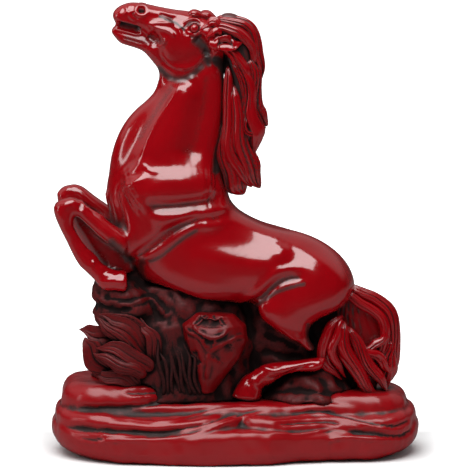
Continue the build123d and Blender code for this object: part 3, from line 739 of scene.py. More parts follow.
@dataclass(frozen=True)
class HorseBody:
    """The horse from nose to hooves, without its ears, eyes and hair."""

    nodes: tuple[str, ...] = (
        "barrel", "neck", *both("neck_muscle", "haunch", "shoulder"), "head", "lower_jaw", "mouth_web",
        *both("forearm", "fore_cannon", "fore_hoof", "hind_cannon", "hind_hoof"), "fore_web")
    voxel: float = 0.82
    soft_rounds: int = 218
    slender_hold: float = 0.94
    slender: tuple[Region, ...] = (
        (160, 30, 27), (190, 45, 14), (80, 235, 24), (100, 262, 18), (285, 372, 20), (245, 385, 14))
    fine: tuple[Region, ...] = ((150, 28, 20), (190, 38, 17))
    nostril: Pixel = (142, 11.2)
    nostril_reach: Pixel = (6.0, 4.9)

    def lumps(self) -> tuple[Lump, ...]:
        """Clay where the cast joins up: the mouth's corner, the poll, the ears' roots and the groin."""
        return (
            Lump("mouth_corner_front", (148, 39), -0.6, 2.6),
            Lump("mouth_corner_back", (154, 42), -1.2, 2.8),
            Lump("poll_front", (206, 34), -3.5, 6.0),
            Lump("poll_back", (214, 34), -2.0, 6.0),
            Lump("ear_root_low", (212, 47), -4.5, 5.5),
            Lump("ear_root_back", (221, 42), -4.0, 5.5),
            Lump("poll_top", (204, 26), 0.0, 5.5),
            Lump("groin_front", (271, 310), -15.5, 6.0),
            Lump("groin_middle", (283, 321), -14.5, 6.5),
            Lump("groin_back", (297, 328), -13.0, 6.0),
        )

    def masses(self) -> tuple[Stroke, ...]:
        """The large muscles."""
        return (
            Stroke("breast_edge", ((113, 198), (120, 183), (130, 168), (137, 152), (144, 137), (153, 119),
                                   (163, 103), (172, 87), (178, 77)), 14.0, 2.0, RAMP),
            Stroke("neck_hollow", ((206, 70), (205, 84), (204, 100), (200, 118), (195, 134), (189, 150),
                                   (184, 162)), 8.5, -1.0),
            Stroke("neck_ridge", ((213, 66), (214, 84), (216, 105), (211, 130), (205, 152), (200, 170)),
                   7.0, 0.8),
            Stroke("throat_swell", ((190, 82), (184, 100), (178, 127), (170, 150), (164, 166)), 9.0, 0.7),
            Stroke("flank_swell", ((190, 252), (212, 258), (240, 262), (262, 264), (290, 262)), 10.0, 0.9),
            Stroke("barrel_crest", ((196, 219), (214, 221), (238, 225), (262, 233), (292, 246)), 12.0, 1.3),
            Stroke("shoulder_swell", ((128, 200), (140, 192), (153, 187), (168, 184), (185, 182),
                                      (202, 182), (216, 184)), 14.5, 3.9),
            Stroke("shoulder_hollow", ((144, 207), (158, 206), (178, 206), (200, 203), (222, 198)),
                   5.0, -2.0),
            Stroke("lower_shoulder", ((150, 222), (168, 218), (190, 214), (212, 211), (234, 206)),
                   6.0, 1.5),
            Stroke("shoulder_front", ((131, 248), (129, 232), (125, 215), (121, 200), (121, 190),
                                      (129, 183), (141, 177), (152, 172)), 5.0, 1.1, RAMP),
            Stroke("elbow_edge", ((130, 260), (140, 256), (155, 247), (170, 236), (184, 227), (198, 222),
                                  (215, 221), (230, 217)), 6.0, 1.7, RAMP),
            Stroke("thigh_edge", ((305, 272), (290, 273), (278, 277), (268, 285), (258, 295), (245, 302),
                                  (228, 305)), 5.5, 1.5, RAMP),
            Stroke("hip_point", ((281, 253),), 6.0, 1.0),
            Stroke("croup", ((315, 267),), 11.0, 0.9),
            Stroke("stifle", ((262, 300), (262, 312), (266, 322)), 6.0, 1.0),
            Stroke("cheek", ((181, 54), (187, 55)), 10.0, 0.7),
            Stroke("face_plane", ((142, 14), (155, 15), (170, 17), (184, 20), (194, 22)), 4.5, -0.65, RAMP),
            Stroke("throatlatch", ((160, 74), (172, 79), (186, 78), (199, 71), (207, 58)), 4.5, -1.2),
            Stroke("chin_hollow", ((150, 33), (155, 39), (159, 46)), 4.5, -1.7),
        )

    def folds(self) -> tuple[Stroke, ...]:
        """The folds, tendons and edges."""
        return (
            Stroke("jaw_edge", ((205, 47), (204, 56), (199, 64), (191, 69), (180, 70), (170, 66), (162, 57),
                                (160, 49)), 2.4, 0.55, STEP),
            Stroke("jaw_front", ((160, 50), (164, 44), (168, 37)), 1.6, 0.5, LINE),
            Stroke("mane_crease", ((223, 66), (227, 90), (228, 112), (225, 132), (219, 152), (216, 172)),
                   3.2, -1.4, LINE),
            Stroke("elbow_crease", ((131, 259), (141, 255), (156, 246), (171, 235), (185, 226), (199, 221)),
                   1.6, -0.7, LINE),
            Stroke("belly_crease", ((134, 262), (137, 277), (147, 291), (160, 302), (176, 311)),
                   3.0, -1.2, LINE),
            Stroke("thigh_crease", ((305, 277), (290, 279), (278, 284), (268, 292), (260, 300)),
                   2.0, -0.8, LINE),
            Stroke("windpipe_edge", ((182, 82), (178, 90), (171, 101), (160, 118), (151, 134), (145, 150),
                                     (142, 162)), 2.4, 0.6, LINE),
            Stroke("throat_knot", ((192, 79),), 2.8, 0.9),
            Stroke("neck_tendon", ((210, 64), (213, 71), (217, 77)), 1.6, 0.6, LINE),
            Stroke("shoulder_fold", ((136, 199), (143, 206), (149, 213)), 1.9, 0.5, LINE),
            Stroke("breast_fold", ((142, 164), (150, 171), (160, 172)), 1.6, 0.4, LINE),
            Stroke("withers_edge", ((213, 165), (222, 184), (230, 202)), 2.2, 0.5, LINE),
            Stroke("knee_cap", ((64, 208), (69, 204), (77, 200)), 2.8, 0.8),
            Stroke("forearm_tendon", ((76, 198), (81, 200), (86, 207), (100, 215), (112, 223), (119, 229)),
                   1.7, 0.7, LINE),
            Stroke("knee_fold", ((74, 205), (79, 209), (84, 214)), 1.5, 0.6, LINE),
            Stroke("knee_pit", ((77, 207), (82, 208)), 2.0, -0.7),
            Stroke("knee_front", ((56, 193), (63, 197)), 1.5, 0.5, LINE),
            Stroke("knee_top", ((65, 191), (72, 188)), 1.8, 0.5, LINE),
            Stroke("cannon_tendon", ((72, 228), (80, 240), (86, 249)), 1.5, 0.5, LINE),
            Stroke("fetlock_ridge", ((87, 249), (93, 254), (99, 260)), 1.6, 0.7, LINE),
            Stroke("fetlock_knob", ((92, 262), (95, 264)), 3.0, 0.7),
            Stroke("pastern_ridge", ((100, 268), (108, 266), (118, 269)), 1.4, 0.5, LINE),
            Stroke("pastern_crease", ((102, 273), (110, 271), (117, 273)), 1.4, -0.5, LINE),
            Stroke("coronet_crease", ((104, 264), (112, 268), (121, 271)), 1.2, -0.5, LINE),
            Stroke("fore_hoof_wall", ((98, 282), (112, 281), (128, 281)), 1.6, 0.6, LINE),
            Stroke("fore_hoof_toe", ((91, 276), (97, 285), (104, 291)), 1.6, 0.5, LINE),
            Stroke("fore_hoof_heel", ((112, 280), (118, 275), (123, 270)), 1.3, 0.5, LINE),
            Stroke("hock_ridge", ((260, 365), (268, 369), (275, 371), (284, 368)), 1.7, 0.9, LINE),
            Stroke("hind_cannon_crease", ((264, 377), (275, 378), (290, 372), (306, 366), (318, 363)),
                   1.8, -0.9, LINE),
            Stroke("hind_tendon", ((270, 383), (282, 378), (296, 372)), 1.6, 0.5, LINE),
            Stroke("hind_fetlock_ridge", ((250, 376), (254, 372), (260, 366)), 1.5, 0.6, LINE),
            Stroke("hind_hoof_wall", ((226, 395), (232, 386), (238, 378), (244, 375)), 1.8, 0.8, LINE),
            Stroke("hind_pastern_ridge", ((250, 376), (255, 381), (260, 386)), 1.5, 0.7, LINE),
            Stroke("hind_pastern_crease", ((247, 380), (252, 386), (256, 392)), 1.5, -0.5, LINE),
            Stroke("hind_hoof_heel", ((243, 394), (251, 398), (258, 399)), 1.4, 0.5, LINE),
        )

    def face(self) -> tuple[Stroke, ...]:
        """The nostril, mouth, lids and bones of the head."""
        (across, down), (broad, high) = self.nostril, self.nostril_reach
        ring = tuple((across + broad * math.cos(turn), down + high * math.sin(turn))
                     for turn in np.linspace(0, 2 * math.pi, 13))
        return (
            Stroke("nostril_rim", ring, 1.3, 0.6),
            Stroke("nostril_pit", ((138.5, 10.5), (145, 10.5)), 2.0, -2.8),
            Stroke("nostril_wing", ((129, 11), (130, 16), (135, 21)), 1.5, 0.8, LINE),
            Stroke("nostril_crease", ((133, 12), (134, 17), (140, 20)), 1.3, -0.6, LINE),
            Stroke("nose_tip", ((126, 7), (127, 12), (123, 16)), 1.2, 0.6, LINE),
            Stroke("mouth_gap", ((117, 24), (124, 26), (133, 28), (142, 31)), 2.4, -2.2),
            Stroke("lower_lip", ((113, 28), (120, 31), (128, 33), (136, 35), (143, 34)), 1.2, 0.9, LINE),
            Stroke("upper_lip", ((118, 20), (128, 22), (138, 26)), 1.2, 0.4, LINE),
            Stroke("cheek_bone", ((147, 25), (157, 24), (167, 24), (174, 24)), 1.5, 0.8, LINE),
            Stroke("cheek_ridge", ((150, 26), (160, 29), (169, 32), (176, 38)), 1.6, 1.0, LINE),
            Stroke("nose_crease", ((160, 14), (167, 17), (174, 20)), 1.3, -0.9, LINE),
            Stroke("nose_bone", ((162, 13), (170, 15), (178, 15)), 1.6, 0.3),
            Stroke("tear_bone", ((165, 19), (169, 22), (174, 27)), 1.4, 0.6, LINE),
            Stroke("cheek_fold", ((178, 27), (180, 33), (183, 40)), 1.2, 0.5, LINE),
            Stroke("under_eye", ((184, 32), (187, 35), (190, 38)), 1.0, 0.4, LINE),
            Stroke("brow", ((182, 25), (186, 22), (191, 20), (197, 20), (202, 24)), 1.2, 0.7, LINE),
            Stroke("brow_crease", ((184, 29), (187, 25), (191, 22.5), (197, 22.5), (202, 27)),
                   1.0, -0.8, LINE),
            Stroke("eye_socket", ((194.5, 29.5),), 3.0, -1.5),
            Stroke("upper_lid", ((188, 30), (190, 26), (193.5, 24), (197.5, 24.5), (200.5, 28)),
                   1.0, 1.0, LINE),
            Stroke("lower_lid", ((189, 32), (192.5, 34), (197, 34), (200, 31.5)), 0.9, 0.6, LINE),
            Stroke("tear_crease", ((182, 28), (185, 33), (189, 37)), 1.1, -0.7, LINE),
            Stroke("lid_crease", ((189, 37), (195, 38), (202, 35)), 1.2, -0.9, LINE),
            Stroke("cheek_back", ((195, 37), (202, 42), (206, 50), (207, 58)), 4.0, -2.4),
            Stroke("mouth_corner", ((148, 36), (156, 42)), 2.6, -0.7),
            Stroke("chin_crease", ((120, 38), (132, 41), (146, 45)), 1.8, -0.5, LINE),
        )

    def build(self) -> list[Piece]:
        """Fuses and sculpts the skin."""
        skin = fused("horse_body", self.nodes, self.voxel, self.lumps())
        surface = Surface(skin)
        surface.relax(rounds=10)
        surface.soften(self.soft_rounds, 1 - self.slender_hold * surface.near(self.slender))
        surface.work(self.masses())
        surface.relax(rounds=9)
        surface.work(self.folds())
        surface.relax(rounds=2)
        surface.write()
        surface = refined(skin, self.fine)
        surface.work(self.face())
        surface.relax(rounds=1)
        surface.write()
        return [(skin, self.nodes)]


@dataclass(frozen=True)
class Rockwork:
    """The rock under the horse."""

    nodes: tuple[str, ...] = ("support_rock", "fore_rock", "haunch_rock", "back_rock")
    voxel: float = 0.9

    def lumps(self) -> tuple[Lump, ...]:
        """Clay that closes the chink between the fore hooves and the belly."""
        return (
            Lump("chink_front", (134, 277), 0.0, 5.0),
            Lump("chink_middle", (142, 281), 0.0, 5.0),
            Lump("chink_back", (150, 287), 0.0, 5.0),
        )

    def strokes(self) -> tuple[Stroke, ...]:
        """The swirls and ledges of the rock."""
        return (
            Stroke("upper_ledge", ((110, 299), (125, 303), (140, 299), (150, 297), (160, 305), (168, 315)),
                   2.6, 1.4, STEP, False),
            Stroke("left_rim", ((93, 290), (99, 298), (110, 302), (125, 302)), 1.8, 0.9, LINE),
            Stroke("left_groove", ((95, 296), (104, 306), (118, 310), (135, 308)), 2.0, -1.0, LINE),
            Stroke("left_rib", ((100, 300), (112, 306)), 1.5, 0.7, LINE, False),
            Stroke("hoof_rib", ((137, 286), (141, 291), (150, 295)), 1.5, 0.8, LINE, False),
            Stroke("swirl_rim", ((150, 297), (158, 306), (166, 316), (172, 310)), 2.0, 0.9, LINE, False),
            Stroke("swirl_groove", ((150, 300), (156, 312), (165, 322)), 2.2, -1.4, LINE, False),
            Stroke("haunch_groove_upper", ((262, 335), (280, 340), (300, 350)), 3.0, -1.6, LINE),
            Stroke("haunch_groove_lower", ((262, 350), (282, 356), (304, 358)), 3.0, -1.6, LINE),
            Stroke("foot_rim", ((286, 401), (300, 405), (318, 403), (336, 402)), 1.8, 1.0, LINE, False),
            Stroke("foot_groove", ((268, 392), (290, 390), (320, 392), (350, 396)), 3.0, -1.6, LINE, False),
            Stroke("haunch_gully", ((310, 322), (312, 338), (320, 350)), 3.0, -1.6, LINE),
        )

    def build(self) -> list[Piece]:
        """Fuses and sculpts the rock."""
        rock = fused("rock_mass", self.nodes, self.voxel, self.lumps())
        surface = Surface(rock)
        surface.relax(rounds=8)
        surface.roughen(size=5.0, height=1.3, seed=0.7)
        surface.work(self.strokes())
        surface.roughen(size=2.1, height=0.35, seed=2.9)
        surface.relax(rounds=1)
        surface.write()
        return [(rock, self.nodes)]


@dataclass(frozen=True)
class Boulder:
    """The boulder in front, with its scooped top."""

    nodes: tuple[str, ...] = ("boulder",)
    voxel: float = 0.55

    def strokes(self) -> tuple[Stroke, ...]:
        """The scoop and the facets."""
        return (
            Stroke("scoop", ((198, 316), (210, 322), (222, 316)), 6.5, -2.6),
            Stroke("scoop_rim", ((192, 321), (197, 330), (203, 334), (210, 338), (221, 336), (229, 329)),
                   1.6, 1.5, LINE),
            Stroke("left_arris", ((184, 326), (189, 332), (198, 336), (204, 343), (208, 352)),
                   1.8, 0.9, LINE),
            Stroke("right_arris", ((209, 353), (216, 348), (226, 343), (238, 337), (244, 338)),
                   1.8, 0.8, LINE),
            Stroke("front_arris", ((209, 353), (208, 366), (206, 380)), 2.2, 0.9, LINE),
            Stroke("front_dent", ((204, 340), (214, 342)), 3.0, -0.8),
            Stroke("left_dent", ((194, 350), (199, 365)), 3.5, -1.0),
            Stroke("right_dent", ((216, 362), (224, 354), (234, 346)), 5.5, -0.7),
        )

    def build(self) -> list[Piece]:
        """Fuses and sculpts the boulder."""
        rock = fused("boulder_skin", self.nodes, self.voxel)
        surface = Surface(rock)
        surface.relax(rounds=6)
        surface.work(self.strokes())
        surface.relax(rounds=1)
        surface.roughen(size=2.8, height=0.2, seed=5.1)
        surface.write()
        return [(rock, self.nodes)]


@dataclass(frozen=True)
class Plinth:
    """The layered plinth.

    At each pixel across in shape_px, front_out is how far the front and back stand out, foot_fill is
    how full the rounded foot is, and front_drop is how far the front edge sinks. Each _from pair is
    where such a change starts, and over how far it grows, in millimetres from the middle.
    """

    nodes: tuple[str, ...] = ("plinth_slab", "plinth_shelf_left", "plinth_shelf_right", "plinth_deck",
                              "plinth_block_left", "plinth_block_right")
    voxel: float = 0.95
    shape_px: tuple[float, ...] = (60, 100, 150, 200, 235, 270, 300, 330, 360, 400)
    front_out: tuple[float, ...] = (0.0, -2.0, 0.0, 2.2, 2.2, 0.5, -4.0, -7.5, -6.5, -1.0)
    foot_fill: tuple[float, ...] = (0.0, 0.1, 0.5, 0.9, 0.9, 0.5, 0.0, 0.0, 0.0, 0.0)
    front_drop: tuple[float, ...] = (0.0, 1.0, 4.4, 2.2, 0.6, 1.4, 3.0, 3.2, 4.5, 4.0)
    out_from: tuple[float, float] = (16, 18)
    foot_from: tuple[float, float] = (24, 8)
    drop_from: tuple[float, float] = (18, 22)
    end_from: tuple[float, float] = (40, 35)
    foot_radius: float = 6.0
    end_inset: float = 6.5
    end_height: float = 12.0
    deck_height: float = DECK_HEIGHT

    def shape(self, points: np.ndarray) -> np.ndarray:
        """Bows the front and back as in the photograph, and draws the ends' foot in.

        Args:
            points: rows of places.

        Returns:
            The moved places.
        """
        def grown(away: np.ndarray, start: tuple[float, float]) -> np.ndarray:
            """A smooth rise from 0 to 1 with the distance away."""
            return ease((away - start[0]) / start[1])

        points = points.copy()
        across = points[:, 0] / VIEW.px + VIEW.middle_px
        height = points[:, 2] / MM
        side, off = np.sign(points[:, 1]), np.abs(points[:, 1]) / MM
        out = np.interp(across, self.shape_px, self.front_out) * grown(off, self.out_from)
        rise = np.clip(self.foot_radius - height, 0, self.foot_radius)
        inset = self.foot_radius - np.sqrt(self.foot_radius ** 2 - rise ** 2)
        out += np.interp(across, self.shape_px, self.foot_fill) * inset * grown(off, self.foot_from)
        drop = grown(-points[:, 1] / MM, self.drop_from)
        slope = np.interp(across, self.shape_px, self.front_drop) * drop
        points[:, 1] += side * out * MM
        points[:, 2] -= slope * height / self.deck_height * MM
        drawn = self.end_inset * np.clip(1 - height / self.end_height, 0, 1) ** 2
        points[:, 0] -= np.sign(points[:, 0]) * drawn * grown(np.abs(points[:, 0]) / MM, self.end_from) * MM
        return points

    def layers(self) -> tuple[Stroke, ...]:
        """The layers' edges and the hollows between them."""
        return (
            Stroke("deck_slope", ((130, 409), (150, 410), (170, 410), (195, 408), (225, 405), (255, 403)),
                   4.5, -1.6, RAMP, False),
            Stroke("upper_rim", ((85, 413), (110, 417), (140, 420), (163, 421), (190, 416), (220, 409),
                                 (250, 406)), 1.8, 0.8, LINE, False),
            Stroke("upper_hollow", ((78, 408), (100, 408), (130, 407), (163, 403)), 2.6, -1.8, LINE, False),
            Stroke("middle_hollow", ((64, 427), (90, 429), (130, 431), (165, 432), (190, 426), (215, 418),
                                     (245, 410)), 3.0, -2.2, LINE, False),
            Stroke("lower_edge_left", ((70, 433), (90, 441), (115, 438), (165, 437), (195, 432), (225, 421),
                                       (255, 412), (275, 411)), 2.4, 0.7, STEP, False),
            Stroke("right_hollow", ((275, 424), (300, 421), (325, 420), (342, 424)),
                   3.0, -2.0, LINE, False),
            Stroke("right_rib", ((268, 432), (300, 434), (335, 428)), 1.6, 1.0, LINE, False),
            Stroke("shelf_edge_right", ((283, 417), (318, 413), (345, 418), (380, 426), (398, 427),
                                        (412, 419)), 2.4, 1.2, STEP, False),
            Stroke("lower_hollow_right", ((345, 431), (370, 433), (400, 436), (415, 427)),
                   2.6, -1.8, LINE, False),
            Stroke("foot_rib_right", ((325, 441), (345, 437), (380, 439), (402, 438)),
                   1.6, 0.8, LINE, False),
            Stroke("block_rim", ((130, 398), (145, 397), (160, 397)), 1.6, 0.9, LINE, False),
            Stroke("block_top_rim", ((120, 389), (140, 388), (158, 390)), 1.4, 0.7, LINE, False),
            Stroke("block_hollow", ((124, 393), (142, 393), (158, 393)), 1.5, -0.8, LINE, False),
        )

    def build(self) -> list[Piece]:
        """Fuses and sculpts the plinth."""
        plinth = fused("plinth", self.nodes, self.voxel)
        surface = Surface(plinth)
        surface.relax(rounds=6)
        surface.points = self.shape(surface.points)
        floor = surface.points[:, 2].min()
        surface.roughen(size=9.0, height=0.5, seed=1.7)
        surface.work(self.layers())
        surface.roughen(size=3.0, height=0.22, seed=4.4)
        surface.relax(rounds=1)
        surface.points[:, 2] = np.maximum(surface.points[:, 2], floor)
        surface.write()
        return [(plinth, self.nodes)]


@dataclass(frozen=True)
class Hair:
    """The mane, forelock and tail, with the grooves of the mane's locks and of its broad masses."""

    deep: float = 0.34
    shallow: float = 0.2
    web: float = 0.14

    def locks(self) -> tuple[Lock, ...]:
        """The locks, from the poll down and from the dock out."""
        return (
            Lock("mane_body", (
                (213, 22, 0, 12), (231, 28, 0, 30), (239, 50, 0, 34), (241, 80, 0, 34), (242, 110, 0, 32),
                (240, 140, 0, 30), (236, 165, 0, 28), (237, 186, 0, 18)),
                thickness=14.0, ribs=17, twist=0.5, groove=self.shallow, node="mane"),
            Lock("mane_crown_outer", (
                (213, 21, 0, 10), (230, 22, 0, 15), (246, 28, 0, 15), (255, 41, 0, 14), (259, 55, 0, 15),
                (261, 68, 0, 13), (261, 81, 0, 6)),
                thickness=13.0, ribs=9, twist=1.9, groove=self.deep, node="mane_lock_crown"),
            Lock("mane_crown_inner", (
                (212, 30, -4, 8), (224, 29, -5, 13), (240, 33, -5, 14), (250, 45, -4, 13),
                (254, 60, -3, 12), (253, 76, -2, 6)), thickness=9.0, ribs=7, twist=1.7, groove=self.deep),
            Lock("mane_temple", (
                (213, 38, -5, 7), (226, 50, -6, 10), (238, 58, -6, 14), (245, 72, -6, 13),
                (249, 88, -5, 6)), thickness=8.0, ribs=6, twist=1.7, groove=self.deep),
            Lock("mane_upper", (
                (246, 56, -2, 10), (253, 72, -2, 17), (254, 90, -1, 18), (256, 106, -1, 18),
                (261, 117, -1, 17), (267, 126, 0, 12)),
                thickness=11.0, ribs=9, twist=1.9, groove=self.deep, node="mane_lock_upper", sway=0.3,
                ragged=0.06),
            Lock("mane_middle", (
                (232, 56, -4, 10), (243, 76, -5, 16), (248, 98, -5, 18), (250, 115, -5, 21),
                (253, 130, -4, 23), (254, 143, -3, 19), (251, 158, -2, 10)),
                thickness=11.0, ribs=9, twist=1.9, groove=self.deep, node="mane_lock_middle", waves=2.2,
                ragged=0.15),
            Lock("mane_curl", (
                (246, 116, -6, 6), (246, 124, -7, 8), (248, 132, -7, 9), (254, 135, -6, 9),
                (261, 131, -4, 8), (266, 127, -2, 4)), thickness=6.0, ribs=5, twist=0.5, groove=self.deep),
            Lock("mane_lower", (
                (233, 84, -5, 10), (236, 112, -6, 16), (239, 134, -6, 20), (243, 152, -5, 23),
                (249, 169, -4, 24), (256, 181, -3, 18), (260, 188, -2, 8)),
                thickness=11.0, ribs=10, twist=1.9, groove=self.deep, node="mane_lock_lower", waves=2.0,
                ragged=0.12),
            Lock("mane_fore", (
                (228, 66, -5, 8), (229, 96, -6, 11), (227, 122, -7, 13), (228, 143, -7, 16),
                (234, 160, -6, 19), (243, 175, -5, 20), (252, 187, -3, 10)),
                thickness=9.0, ribs=8, twist=1.9, groove=self.deep, waves=2.2, ragged=0.15),
            Lock("mane_withers", (
                (224, 122, -4, 6), (223, 142, -5, 12), (226, 160, -5, 18), (232, 175, -4, 24),
                (239, 187, -3, 26), (244, 194, -2, 12)),
                thickness=10.0, ribs=10, twist=1.7, groove=self.deep, node="mane_lock_withers", waves=2.0,
                ragged=0.12),
            Lock("forelock_hair", (
                (188, 17, 0, 5), (194, 13, -1, 11), (201, 17, -1, 9), (208, 16, -1, 13), (216, 22, 0, 15),
                (224, 28, 0, 12)), thickness=9.0, ribs=6, twist=0.8, node="forelock"),
            Lock("forelock_strand", (
                (224, 30, -6, 10), (214, 24, -6, 11), (207, 25, -6, 9), (203, 31, -7, 6),
                (206, 38, -7, 4)), thickness=5.0, ribs=5, twist=0.6),
            Lock("forelock_temple", (
                (222, 34, -7, 7), (214, 32, -8, 8), (209, 37, -8, 6), (211, 44, -7, 4)),
                thickness=4.0, ribs=4, twist=0.6),
            Lock("tail_web_fill", (
                (350, 292, 1, 22), (354, 308, 1, 44), (359, 328, 1, 54), (362, 348, 1, 54),
                (364, 368, 1, 46), (368, 386, 0, 34), (374, 399, 0, 14)),
                thickness=8.0, ribs=15, twist=0.4, groove=self.web, node="tail_web"),
            Lock("tail_arch_outer", (
                (346, 285, 0, 8), (361, 293, 0, 13), (376, 302, 0, 15), (389, 314, 0, 17),
                (395, 332, 0, 15), (394, 350, 0, 16), (391, 368, 0, 16), (384, 380, 0, 8)),
                thickness=12.0, ribs=8, twist=0.6, node="tail_arch"),
            Lock("tail_arch_inner", (
                (344, 292, -3, 9), (358, 300, -3, 12), (371, 308, -3, 13), (381, 320, -3, 13),
                (385, 336, -3, 14), (382, 352, -3, 15), (379, 366, -3, 10)),
                thickness=9.0, ribs=7, twist=0.7),
            Lock("tail_eddy", (
                (384, 326, -4, 6), (383, 338, -5, 10), (375, 346, -6, 10), (365, 348, -7, 8),
                (356, 343, -7, 5)), thickness=6.0, ribs=5, twist=0.5),
            Lock("tail_curl", (
                (343, 315, -8, 6), (331, 328, -10, 12), (323, 344, -10, 14), (325, 360, -10, 13),
                (333, 371, -9, 10), (342, 380, -8, 4)),
                thickness=9.0, ribs=7, twist=0.9, node="tail_lock_curl"),
            Lock("tail_curl_inner", (
                (342, 318, -10, 6), (336, 334, -12, 10), (333, 350, -12, 11), (338, 366, -11, 9),
                (346, 378, -9, 4)), thickness=7.0, ribs=5, twist=0.8),
            Lock("tail_fan", (
                (343, 320, -9, 8), (344, 342, -11, 15), (350, 360, -11, 17), (360, 377, -10, 16),
                (371, 390, -9, 13), (381, 400, -7, 5)),
                thickness=9.0, ribs=8, twist=0.9, node="tail_lock_fan"),
            Lock("tail_sweep", (
                (347, 326, -8, 7), (356, 343, -9, 13), (365, 358, -9, 15), (374, 372, -8, 14),
                (382, 384, -7, 11), (388, 393, -5, 5)),
                thickness=9.0, ribs=7, twist=0.9, node="tail_lock_sweep"),
            Lock("tail_flick", (
                (355, 342, -7, 5), (366, 350, -8, 9), (377, 357, -7, 11), (386, 366, -6, 11),
                (393, 376, -4, 5)), thickness=7.0, ribs=5, twist=0.7),
            Lock("tail_heel", (
                (390, 338, -1, 10), (390, 352, -1, 18), (387, 366, -1, 22), (385, 380, 0, 18),
                (386, 393, 0, 8)), thickness=12.0, ribs=8, twist=0.8, node="tail_lock_heel"),
        )

    def build(self) -> list[Piece]:
        """Makes every lock."""
        return [lock.piece() for lock in self.locks()]


@dataclass(frozen=True)
class Plants:
    """The leaves and the blades of grass, with the sizes that they share, in millimetres and pixels."""

    leaf_thickness: float = 3.6
    leaf_ribs: int = 7
    blade_thickness: float = 2.2
    blade_ribs: int = 2
    blade_bend_px: float = 2
    blade_tips: tuple[tuple[float, float, float, float], ...] = (
        (158, 338, 160, 164), (160, 352, 164, 169), (166, 332, 170, 174), (168, 345, 174, 181),
        (172, 340, 178, 186), (178, 348, 184, 191), (183, 342, 189, 196), (188, 356, 194, 201))

    def leaf(self, name: str, rows: tuple[Row, ...], node: str = "", fold: float = 0.5) -> Lock:
        """One folded, wavy leaf with a pointed tip."""
        return Lock(name, rows, self.leaf_thickness, self.leaf_ribs, twist=0.3, groove=0.34, node=node,
                    blunt=0.5, sway=0.9, waves=1.4, ragged=0.15, fold=fold)

    def blade(self, number: int, tip: float, top: float, waist: float, foot: float) -> Lock:
        """One blade of grass.

        Args:
            number: its number, of which the first stands for the CAD node of all blades.
            tip: how far across its tip is, in pixels.
            top: how far down its tip is.
            waist: how far across its middle is.
            foot: how far across its foot is.

        Returns:
            The blade.
        """
        rows = ((foot, 396, -20.0, 5), (waist + self.blade_bend_px, 378, -21.5, 4.5),
                (waist, 360, -22.0, 4), (tip, top, -20.5, 3))
        return Lock(f"grass_blade_{number}", rows, self.blade_thickness, self.blade_ribs, twist=0.3,
                    groove=0.2, node="grass_blades" if number == 1 else "", sway=0.8, waves=0.9,
                    rings=28, sides=24)

    def leaves(self) -> tuple[Lock, ...]:
        """The clump's leaves, from the top down."""
        return (
            self.leaf("leaf_top_upper", (
                (153, 354, -16, 12), (141, 336, -18, 18), (126, 323, -18.5, 18), (112, 317, -18, 13),
                (99, 314, -17, 4)), node="leaf_top"),
            self.leaf("leaf_top_lower", (
                (146, 360, -17, 14), (130, 346, -19.5, 19), (116, 334, -20, 17), (105, 324, -19, 11),
                (97, 317, -17.5, 4)), fold=-0.4),
            self.leaf("leaf_side_blade", (
                (126, 345, -14, 16), (110, 337, -15.5, 22), (97, 333, -16, 20), (87, 331, -15.5, 13),
                (79, 329, -15, 4)), node="leaf_side", fold=0.4),
            self.leaf("leaf_low_upper", (
                (153, 370, -20, 12), (138, 357, -22, 18), (121, 351, -22.5, 17), (107, 348, -21.5, 11),
                (96, 348, -20, 4)), node="leaf_low", fold=0.45),
            self.leaf("leaf_low_under", (
                (147, 376, -21, 13), (131, 367, -23, 18), (116, 362, -23, 17), (103, 358, -22, 12),
                (93, 353, -20, 4)), fold=-0.4),
            self.leaf("leaf_foot_blade", (
                (113, 372, -16, 18), (102, 363, -18, 26), (94, 354, -18.5, 25), (88, 345, -18, 18),
                (85, 337, -17, 8)), node="leaf_foot", fold=0.45),
            self.leaf("leaf_upright_blade", (
                (158, 369, -17, 12), (154, 351, -19, 17), (151, 337, -19.5, 15), (146, 327, -18.5, 10),
                (140, 317, -17, 4)), node="leaf_upright", fold=0.45),
            self.leaf("leaf_hidden", (
                (140, 386, -18, 14), (126, 379, -20, 19), (112, 376, -19.5, 16), (100, 374, -18.5, 10),
                (91, 371, -17, 4)), fold=0.4),
        )

    def build(self) -> list[Piece]:
        """Makes every leaf and blade."""
        blades = [self.blade(number, *tips) for number, tips in enumerate(self.blade_tips, 1)]
        return [lock.piece() for lock in (*self.leaves(), *blades)]


@dataclass(frozen=True)
class Ears:
    """The two laid-back ears, each hollow on its outer side."""

    rows: tuple[Row, ...] = (
        (208, 44, -7.0, 9), (217, 44, -7.6, 14), (227, 44.5, -7.8, 16), (236, 44, -7.4, 12),
        (243, 43, -7, 5))
    thickness: float = 6.5
    ribs: int = 3

    def strokes(self) -> tuple[Stroke, ...]:
        """The near ear's bowl and rims."""
        return (
            Stroke("ear_bowl", ((217, 43), (226, 44), (234, 44)), 3.5, -3.6, twin=False),
            Stroke("ear_upper_rim", ((213, 42), (220, 38), (229, 37), (237, 39)), 1.2, 0.9, LINE, False),
            Stroke("ear_lower_rim", ((215, 47), (223, 50), (232, 50), (240, 46)), 1.2, 0.9, LINE, False),
        )

    def build(self) -> list[Piece]:
        """Makes the near ear, and mirrors it."""
        near = Lock("ear_near_skin", self.rows, self.thickness, self.ribs, twist=0.0, groove=0.0).build()
        surface = Surface(near)
        surface.work(self.strokes())
        surface.write()
        return [(near, ("ear_near",)), (mirrored("ear_far_skin", near), ("ear_far",))]


